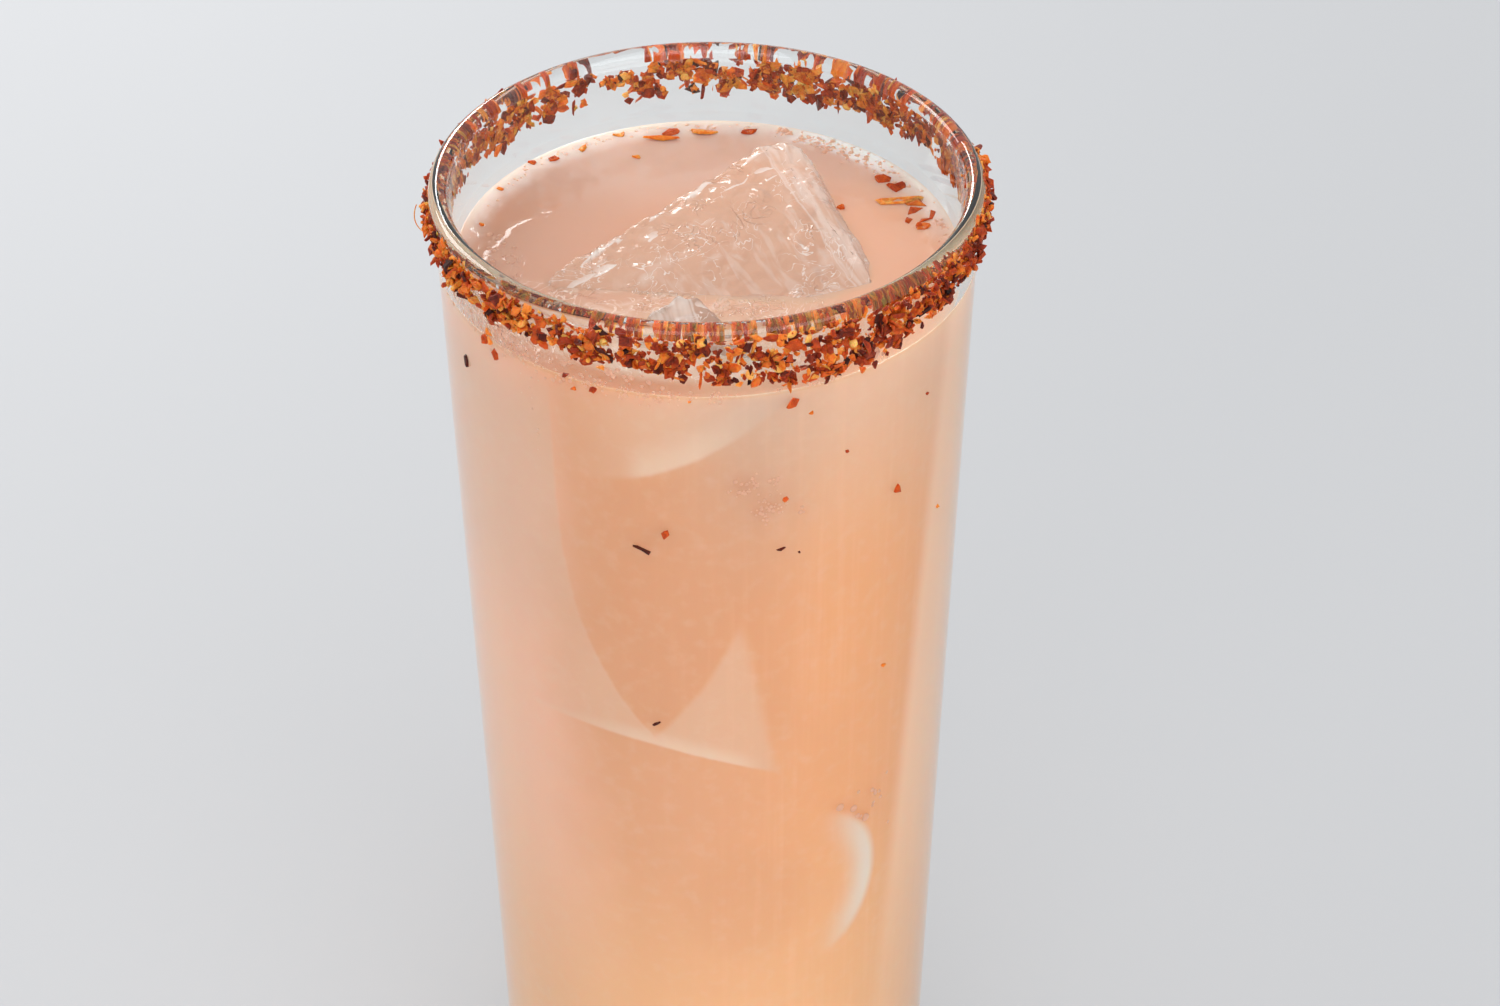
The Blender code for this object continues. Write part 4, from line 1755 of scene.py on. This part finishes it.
@dataclass
class ChilliCrust:
    """The crust of flakes on the outside of the lip. The first layer is wetted to the glass.

    A hump is given by its height, its middle in degrees of azimuth and its width.
    """

    glass: Tumbler
    seed: int = 7
    layers: tuple[FlakeLayer, ...] = (
        FlakeLayer(1750, (-0.06, 0.0), 0.05, 0.5, 1.9, (0.0, 1.0), WETTED_KINDS),
        FlakeLayer(1150, (0.2, 0.5), 0.45, 0.7, 2.4, (0.03, 0.97), DRY_KINDS),
        FlakeLayer(720, (0.5, 1.1), 0.7, 0.9, 2.7, (0.1, 0.88), DRY_KINDS),
    )
    sizes: FlakeSizes = FlakeSizes()
    lining: LipLining = LipLining()
    top_depth: float = 1.25
    top_rise: tuple[float, float, float] = (0.6, 82.0, 34.0)
    low_depth: float = 5.6
    sag: tuple[float, float, float] = (3.2, 23.0, 30.0)
    back_sag: float = 1.3
    ragged: tuple[Span, ...] = ((1.3, 0.14), (0.7, 0.45))
    crowding: float = 0.9
    thinning: Span = (1.2, 0.5)
    cover_even: float = 0.8
    clump: float = 1.5
    clump_scale: Span = (0.2, 0.45)
    gap: tuple[float, float, float] = (0.45, -152.0, 14.0)
    bare_behind: float = 1.05
    bare_depth: float = 1.7
    # Painted shade at the front right and painted light at the left and behind: humps in the kinds' shares.
    painted_shade: Span = (40.0, 45.0)
    painted_light: Span = (-62.0, 34.0)
    painted_light_behind: float = 0.5

    def low(self, azimuth: float) -> float:
        """How deep the crust hangs at an azimuth."""
        (wide, wide_scale), (fine, fine_scale) = self.ragged
        ragged = wide * level_noise(azimuth * wide_scale, 4.0, 0.0)
        ragged += fine * level_noise(azimuth * fine_scale, 8.0, 0.0)
        at_back = (1.0 - math.cos(math.radians(azimuth))) / 2
        height, centre, width = self.sag
        return self.low_depth + height * hump(azimuth, centre, width) + self.back_sag * at_back + ragged

    def high(self, azimuth: float) -> float:
        """How deep the crust begins at an azimuth."""
        height, centre, width = self.top_rise
        return self.top_depth - height * hump(azimuth, centre, width)

    def cover(self, azimuth: float, depth: float) -> float:
        """How likely a flake stays at a place: clumps, and thin stretches at the back left.

        Args:
            azimuth: Degrees from the front.
            depth: Millimetres below the crest.

        Returns:
            The chance, which may pass 0 or 1.
        """
        clump = level_noise(azimuth * self.clump_scale[0], depth * self.clump_scale[1], 9.0)
        height, centre, width = self.gap
        gap = height * hump(azimuth, centre, width)
        bare = behind(azimuth) * max(0.0, 1.0 - (depth - self.top_depth) / self.bare_depth)
        return self.cover_even + self.clump * clump - gap - self.bare_behind * bare

    def kind_at(self, azimuth: float, draw: random.Random, kinds: dict[Chilli, KindShare]) -> Chilli:
        """Choose a flake's kind, with painted light at the left and back and painted shade at the front
        right.

        Args:
            azimuth: Degrees from the front.
            draw: The random draw.
            kinds: How common each kind is.

        Returns:
            The kind.
        """
        # Painted shade and painted light by azimuth.
        painted_shade = hump(azimuth, *self.painted_shade)
        painted_light = hump(azimuth, *self.painted_light) + self.painted_light_behind * behind(azimuth)
        weights = [share.even + share.painted_shade * painted_shade + share.painted_light * painted_light for share in kinds.values()]
        return draw.choices(list(kinds), weights)[0]

    def placer(self, azimuth: float, depth: float, proud: float, tilt: Euler) -> Placer:
        """A function that lays a flake on the wall.

        Args:
            azimuth: Degrees from the front.
            depth: Millimetres below the crest.
            proud: How far its middle stands out from the glass.
            tilt: How it is turned on the wall.

        Returns:
            The placing function.
        """
        return placed(self.glass.on_wall(azimuth, depth, proud), wall_axes(azimuth) @ tilt.to_matrix())

    def scatter(self, flakes: Flakes, layer: FlakeLayer) -> None:
        """Scatter one layer of flakes.

        Args:
            flakes: Where the flakes are gathered.
            layer: The layer.
        """
        draw, sizes = flakes.draw, self.sizes
        even, thinner = self.thinning
        laid = 0
        while laid < layer.count:
            azimuth = draw.uniform(-180.0, 180.0)
            share = blend_number(*layer.shares, draw.random() ** self.crowding)
            depth = blend_number(self.high(azimuth), self.low(azimuth), share)
            if draw.random() > self.cover(azimuth, depth) * (even - thinner * share):
                continue
            length = min(layer.longest, layer.shortest + draw.expovariate(sizes.tail))
            length *= 1.0 + sizes.longer_behind * behind(azimuth)
            thickness = draw.uniform(*sizes.thickness)
            lean = (draw.gauss(0, layer.lean), draw.gauss(0, layer.lean), draw.uniform(0, 2 * math.pi))
            proud = draw.uniform(*layer.proud)
            kind = self.kind_at(azimuth, draw, layer.kinds)
            shape = sizes.draw_shape(draw, kind, length, thickness)
            flakes.add(kind, shape, self.placer(azimuth, depth, proud, Euler(lean)))
            laid += 1

    def build(self) -> None:
        """Build and dress the crust."""
        flakes = Flakes(random.Random(self.seed))
        for layer in self.layers:
            self.scatter(flakes, layer)
        self.lining.stick(flakes, self.glass)
        for piece in flakes.join("rim"):
            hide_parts("glass")


@dataclass(frozen=True)
class Stray:
    """A lone flake: its azimuth, its depth on the wall or radius on the drink, its size, turn and kind."""

    azimuth: float
    place: float
    length: float
    width: float
    turn: float
    kind: Chilli


STRAYS = (
    Stray(-60.9, 16.2, 2.2, 1.4, 80, Chilli.DARK), Stray(-51.9, 9.9, 1.9, 1.3, 70, Chilli.RUST),
    Stray(-50.2, 8.5, 1.5, 1.2, 10, Chilli.AMBER), Stray(-48.4, 11.3, 1.7, 1.0, 100, Chilli.RUST),
    Stray(-50.0, 9.8, 1.7, 1.0, 110, Chilli.AMBER), Stray(-29.3, 9.3, 1.4, 0.9, 10, Chilli.FLESH),
    Stray(-22.8, 10.3, 1.2, 0.8, 20, Chilli.RUST), Stray(-20.8, 6.9, 1.3, 1.1, 0, Chilli.AMBER),
    Stray(-24.0, 6.5, 1.8, 1.2, 20, Chilli.FLESH),
    Stray(18.1, 11.5, 1.8, 1.5, 5, Chilli.RUST), Stray(21.9, 13.4, 0.8, 0.4, 30, Chilli.AMBER),
    Stray(30.5, 20.4, 0.6, 0.4, 0, Chilli.FLESH), Stray(44.8, 29.6, 1.6, 1.4, 100, Chilli.RUST),
    Stray(16.6, 25.1, 1.1, 0.8, 50, Chilli.AMBER), Stray(-8.6, 29.6, 1.6, 1.2, 60, Chilli.RUST),
    Stray(-13.2, 32.2, 2.9, 0.6, -25, Chilli.DARK), Stray(15.9, 32.4, 1.2, 0.6, 20, Chilli.DARK),
    Stray(19.9, 33.4, 0.45, 0.35, 0, Chilli.FLESH), Stray(-11.7, 59.4, 1.6, 0.6, 30, Chilli.DARK),
    Stray(43.4, 56.6, 0.9, 0.7, 10, Chilli.AMBER), Stray(53.3, 18.2, 0.5, 0.4, 0, Chilli.FLESH),
    Stray(61.5, 37.8, 0.8, 0.6, 40, Chilli.AMBER), Stray(-27.4, 10.9, 0.8, 0.6, 0, Chilli.AMBER),
    Stray(-3.0, 10.2, 0.5, 0.4, 0, Chilli.AMBER), Stray(33.4, 9.5, 1.7, 0.9, -30, Chilli.AMBER),
    Stray(34.4, 8.6, 1.6, 1.3, 20, Chilli.SKIN), Stray(36.4, 9.3, 1.5, 0.9, 60, Chilli.FLESH),
    Stray(35.6, 8.0, 1.4, 1.1, 0, Chilli.FLESH), Stray(25.3, 9.2, 1.9, 0.5, 70, Chilli.DARK),
    Stray(27.2, 8.6, 2.5, 0.6, -40, Chilli.DARK), Stray(38.6, 6.8, 1.7, 0.8, -20, Chilli.AMBER),
    Stray(29.5, 7.4, 1.7, 1.4, 10, Chilli.DARK), Stray(31.0, 6.5, 1.3, 1.0, 40, Chilli.FLESH),
)
AFLOAT = (
    Stray(-132, 29.6, 1.5, 1.1, 0, Chilli.SKIN), Stray(-137, 28.6, 1.9, 1.3, 20, Chilli.RUST),
    Stray(-146, 28.4, 2.0, 1.4, 60, Chilli.AMBER), Stray(-157, 29.2, 1.9, 1.4, 0, Chilli.AMBER),
    Stray(-166, 26.6, 5.2, 1.9, 4, Chilli.AMBER), Stray(-170, 28.0, 3.0, 1.8, 30, Chilli.RUST),
    Stray(-178, 27.4, 4.0, 1.8, -8, Chilli.AMBER), Stray(170, 28.2, 3.2, 1.9, 12, Chilli.RUST),
    Stray(-157, 23.3, 1.2, 0.9, 0, Chilli.AMBER), Stray(120, 18.9, 1.6, 1.0, 30, Chilli.SKIN),
    Stray(115, 25.8, 8.6, 2.4, 4, Chilli.AMBER), Stray(112, 27.6, 4.6, 2.2, -14, Chilli.AMBER),
    Stray(106, 26.8, 4.6, 3.8, 60, Chilli.RUST), Stray(127, 27.2, 4.4, 3.0, -50, Chilli.RUST),
    Stray(122, 27.2, 4.0, 2.8, -30, Chilli.RUST), Stray(101, 26.6, 2.6, 1.8, 0, Chilli.AMBER),
    Stray(-118, 29.2, 1.0, 0.7, 0, Chilli.SKIN), Stray(-101, 28.0, 0.9, 0.6, 0, Chilli.AMBER),
)


@dataclass
class LoneFlakes:
    """Flakes that lie apart from the crust: strays on the wall and flakes afloat on the drink."""

    crust: ChilliCrust
    drink: Drink
    seed: int = 21
    thickness: float = 0.3
    proud: float = 0.04
    sunk: float = 0.06

    def build(self) -> None:
        """Build and dress both sets."""
        strays = Flakes(random.Random(self.seed))
        for stray in STRAYS:
            self.lay(strays, stray, self.stuck(stray))
        strays.join("stray")
        afloat = Flakes(random.Random(self.seed + 1))
        for flake in AFLOAT:
            self.lay(afloat, flake, self.floating(flake))
        afloat.join("afloat")

    def lay(self, flakes: Flakes, flake: Stray, place: Placer) -> None:
        """Make one flake's chip and put it in its place."""
        flakes.add(flake.kind, ChipShape(flake.length, flake.width, self.thickness), place)

    def stuck(self, flake: Stray) -> Placer:
        """A function that lays a flake on the wall."""
        tilt = Euler((0.0, 0.0, math.radians(flake.turn)))
        return self.crust.placer(flake.azimuth, flake.place, self.proud, tilt)

    def floating(self, flake: Stray) -> Placer:
        """A function that lays a flake on the drink.

        Args:
            flake: The flake; its place is its distance from the axis.

        Returns:
            The placing function.
        """
        x, y = plan(flake.azimuth, flake.place)
        centre = Vector((x, y, self.drink.surface_height(x, y) + self.sunk))
        return placed(centre, Matrix.Rotation(math.radians(flake.turn), 3, "Z"))


@dataclass(frozen=True)
class BeadPatch:
    """A patch of small beads: its middle's azimuth and place, its spreads, its count and the beads' radii."""

    azimuth: float
    place: float
    azimuth_spread: float
    place_spread: float
    count: int
    radii: Span


WALL_BEADS = (
    BeadPatch(-44.0, 9.2, 7.0, 0.9, 46, (0.1, 0.34)), BeadPatch(-28.0, 9.4, 7.0, 0.7, 52, (0.1, 0.3)),
    BeadPatch(-12.0, 9.7, 6.0, 0.5, 44, (0.1, 0.26)), BeadPatch(-1.0, 9.8, 4.0, 0.4, 24, (0.1, 0.24)),
    BeadPatch(-20.0, 7.6, 9.0, 0.6, 22, (0.2, 0.42)), BeadPatch(9.5, 22.6, 2.0, 0.8, 30, (0.12, 0.27)),
    BeadPatch(14.8, 22.4, 0.6, 0.8, 6, (0.1, 0.24)), BeadPatch(12.8, 26.6, 1.8, 0.8, 34, (0.12, 0.27)),
    BeadPatch(20.6, 27.2, 0.4, 0.4, 3, (0.14, 0.3)), BeadPatch(36.0, 7.4, 2.6, 0.9, 12, (0.3, 0.8)),
    BeadPatch(26.0, 9.3, 8.0, 0.4, 20, (0.1, 0.24)), BeadPatch(42.0, 79.0, 4.0, 2.6, 16, (0.25, 0.6)),
    BeadPatch(-38.0, 15.0, 2.0, 3.0, 10, (0.1, 0.2)), BeadPatch(-66.0, 8.0, 6.0, 1.4, 20, (0.12, 0.34)),
)
TOP_BEADS = (
    BeadPatch(144.0, 28.3, 8.0, 0.7, 120, (0.14, 0.4)), BeadPatch(160.0, 29.2, 3.0, 0.4, 16, (0.2, 0.5)),
    BeadPatch(-170.0, 29.0, 14.0, 0.4, 46, (0.12, 0.3)), BeadPatch(-130.0, 29.0, 12.0, 0.5, 34, (0.12, 0.3)),
    BeadPatch(100.0, 28.8, 14.0, 0.5, 40, (0.12, 0.3)), BeadPatch(-88.0, 24.5, 5.0, 1.6, 16, (0.15, 0.45)),
)


@dataclass
class Beads:
    """Small clear beads and bubbles on the wall and at the waterline."""

    crust: ChilliCrust
    drink: Drink
    seed: int = 33
    sunk: float = 0.3
    flat: float = 0.36
    base: float = -0.5
    dome_arc: tuple[int, int, int] = (-30, 75, 5)
    segments: int = 12
    small_share: float = 2.0

    def dome(self, radius: float, place: Placer, held: Shape) -> None:
        """Add one bead.

        Args:
            radius: Its radius.
            place: Puts its points in the object.
            held: The points and faces gathered so far.
        """
        points, faces = held
        start = len(points)
        outline = [(0.0, self.base)] + arc((0.0, 0.0), 1.0, *self.dome_arc) + [(0.0, 1.0)]
        shape, sides = turned(outline, self.segments)
        for x, y, z in shape:
            local = Vector((x, y, (z - self.sunk) * self.flat)) * radius
            points.append(tuple(place(local)))
        faces.extend(tuple(start + i for i in side) for side in sides)

    def draw_radius(self, draw: random.Random, patch: BeadPatch) -> float:
        """A bead's radius; small ones are the most common."""
        return blend_number(*patch.radii, draw.random() ** self.small_share)

    def wall_beads(self, draw: random.Random) -> Shape:
        """The beads on the wall.

        Args:
            draw: The random draw.

        Returns:
            Their points and faces.
        """
        held: Shape = ([], [])
        for patch in WALL_BEADS:
            for _ in range(patch.count):
                azimuth = draw.gauss(patch.azimuth, patch.azimuth_spread)
                depth = draw.gauss(patch.place, patch.place_spread)
                radius = self.draw_radius(draw, patch)
                self.dome(radius, self.crust.placer(azimuth, depth, 0.0, Euler()), held)
        return held

    def surface_bubbles(self, draw: random.Random) -> Shape:
        """The bubbles at the waterline, kept inside the wall.

        Args:
            draw: The random draw.

        Returns:
            Their points and faces.
        """
        held: Shape = ([], [])
        limit = self.drink.glass.inner(self.drink.level_depth)
        for patch in TOP_BEADS:
            for _ in range(patch.count):
                azimuth = draw.gauss(patch.azimuth, patch.azimuth_spread)
                radius = self.draw_radius(draw, patch)
                x, y = plan(azimuth, min(draw.gauss(patch.place, patch.place_spread), limit - radius))
                centre = Vector((x, y, self.drink.surface_height(x, y)))
                self.dome(radius, placed(centre, Matrix.Identity(3)), held)
        return held

    def build(self) -> None:
        """Build and dress the beads."""
        draw = random.Random(self.seed)
        material = BubbleFinish().make("wet beads")
        finished(mesh_piece("wet_beads", self.wall_beads(draw), True), material)
        finished(mesh_piece("surface_bubbles", self.surface_bubbles(draw), True), material)


@dataclass
class Fibre:
    """A fine fibre that curls out of the crust at the left."""

    glass: Tumbler
    azimuth: float = -84.0
    sweep: float = -9.0
    depth: float = 6.4
    thickness: float = 0.07
    reach: float = 2.6
    curl: float = 0.62
    drop: float = 2.6
    drop_curve: Span = (-1.9, 0.5)
    ahead: float = 0.01
    steps: int = 36
    sides: int = 6
    finish: ChilliFinish = ChilliFinish(0.8, 0.0)

    def path(self, share: float) -> Vector:
        """A point along it.

        Args:
            share: 0 at the crust, 1 at its tip.

        Returns:
            The point in millimetres.
        """
        square, cube = self.drop_curve
        out = math.sin(share * math.pi * self.curl) * self.reach
        height = self.depth + self.drop * (share + square * share * share + cube * share ** 3)
        return self.glass.on_wall(self.azimuth + self.sweep * share, height, out)

    def build(self) -> None:
        """Build and dress the fibre."""
        points, faces = [], []
        for step in range(self.steps + 1):
            share = step / self.steps
            along = (self.path(min(1.0, share + self.ahead)) - self.path(share - self.ahead)).normalized()
            frame_x = along.cross(Vector((0.0, 0.0, 1.0))).normalized()
            frame_y = along.cross(frame_x)
            for i in range(self.sides):
                turn = 2 * math.pi * i / self.sides
                offset = (frame_x * math.cos(turn) + frame_y * math.sin(turn)) * self.thickness
                points.append(tuple(self.path(share) + offset))
        for step in range(self.steps):
            for i in range(self.sides):
                j = (i + 1) % self.sides
                low, high = step * self.sides, (step + 1) * self.sides
                faces.append((low + i, low + j, high + j, high + i))
        faces.append(tuple(range(self.sides))[::-1])
        faces.append(tuple(range(self.steps * self.sides, (self.steps + 1) * self.sides)))
        piece = mesh_piece("fibre", (points, faces), True)
        finished(piece, self.finish.make("fibre"))


@dataclass(frozen=True)
class Window:
    """A large soft light: its name, its place, its width and height in millimetres, and its watts."""

    name: str
    place: Point
    size: Pair
    strength: float


@dataclass
class Stage:
    """Plain pale floor, soft light and the camera."""

    crest: float
    lens: float = 76.8
    nearest: float = 0.01
    camera_from_crest: Point = (5.1, -325.7, 196.7)
    pitch: float = 37.0
    floor_reach: float = 20000.0
    sky: Colour = (0.97, 0.985, 1.0)
    sky_strength: float = 0.86
    aim_share: float = 0.7
    windows: tuple[Window, ...] = (
        Window("window", (-560.0, 460.0, 640.0), (300.0, 400.0), 2.4),
        Window("low_window", (-262.0, 900.0, 560.0), (150.0, 420.0), 2.6),
        Window("front_fill", (150.0, -950.0, 500.0), (1800.0, 800.0), 8.2),
    )

    def build(self) -> None:
        """Make the floor, the lights and the camera."""
        self.add_camera()
        self.add_floor()
        self.add_world()
        for window in self.windows:
            self.add_window(window)

    def add_camera(self) -> None:
        """The camera at the photograph's viewing angle."""
        data = bpy.data.cameras.new("camera")
        data.lens = self.lens
        data.clip_start = self.nearest
        camera = linked("camera", data)
        x, y, z = self.camera_from_crest
        camera.location = (x * MM, y * MM, (self.crest + z) * MM)
        camera.rotation_euler = (math.radians(90 - self.pitch), 0.0, 0.0)
        bpy.context.scene.camera = camera

    def add_floor(self) -> None:
        """A wide floor."""
        reach = self.floor_reach
        points = [(-reach, -reach, 0.0), (reach, -reach, 0.0), (reach, reach, 0.0), (-reach, reach, 0.0)]
        floor = mesh_piece("floor", (points, [(0, 1, 2, 3)]), False)
        floor.data.materials.append(PlainFloor().make("plain floor"))

    def add_world(self) -> None:
        """Even light from all round."""
        world = bpy.data.worlds.new("soft room")
        world.use_nodes = True
        sky = world.node_tree.nodes["Background"]
        sky.inputs["Color"].default_value = (*self.sky, 1.0)
        sky.inputs["Strength"].default_value = self.sky_strength
        bpy.context.scene.world = world
        bpy.context.scene.view_settings.view_transform = "Standard"

    def add_window(self, window: Window) -> None:
        """Add a light that faces the glass.

        Args:
            window: Its sizes.
        """
        data = bpy.data.lights.new(window.name, "AREA")
        data.shape = "RECTANGLE"
        data.size = window.size[0] * MM
        data.size_y = window.size[1] * MM
        data.energy = window.strength
        light = linked(window.name, data)
        light.location = Vector(window.place) * MM
        aim = Vector((0.0, 0.0, self.crest * self.aim_share * MM)) - light.location
        light.rotation_euler = aim.to_track_quat("-Z", "Y").to_euler()


LARGE_ICE = (
    (-21.0, -8.4, 0.1), (8.0, 15.2, 6.5), (11.0, 15.6, 5.6), (12.3, -12.4, -0.4),
    (20.8, -7.4, -0.1), (3.0, 19.0, -2.0), (15.5, 15.5, -3.0), (-9.0, 10.5, -7.0),
    (-20.0, -6.0, -13.0), (10.0, -11.0, -20.0), (18.5, -5.0, -18.0), (7.0, 17.5, -17.0),
)
SMALL_ICE = (
    (-2.2, -14.0, 3.9), (-8.8, -17.3, 0.4), (3.4, -18.0, 0.6), (-0.8, -19.0, 1.6), (-14.5, -23.5, -11.5),
    (-5.6, -27.3, -11.0), (3.5, -27.6, -6.0), (9.0, -26.2, -1.5), (-11.5, -14.0, -13.0), (5.0, -14.2, -10.0),
)


def main() -> None:
    """Build each sub-assembly in order."""
    logging.basicConfig(level=logging.INFO, format="%(message)s")
    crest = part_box("glass")[1].z / MM
    level = crest - LEVEL_DEPTH
    glass = Tumbler(crest)
    glass.build()
    # The small lump: its white side strip paints light on its left facet, and its ridge glints are painted
    # highlights.
    greyer = WetIce(
        body=paint(204, 170, 150),
        ridge_turn=26.6,
        ridge_offset=-11.2,
        side_turn=285.6,
        side_offset=5.9,
        side_share=0.6,
    )
    lumps = (
        IceLump("large_ice", "ice_large", level, LARGE_ICE, seed=1.7),
        IceLump("small_ice", "ice_small", level, SMALL_ICE, seed=5.2, finish=greyer),
    )
    drink = Drink(glass, level)
    drink.build(lumps)
    for lump in lumps:
        lump.build()
    crust = ChilliCrust(glass)
    crust.build()
    LoneFlakes(crust, drink).build()
    Beads(crust, drink).build()
    Fibre(glass).build()
    Stage(crest).build()


if __name__ == "__main__":
    main()
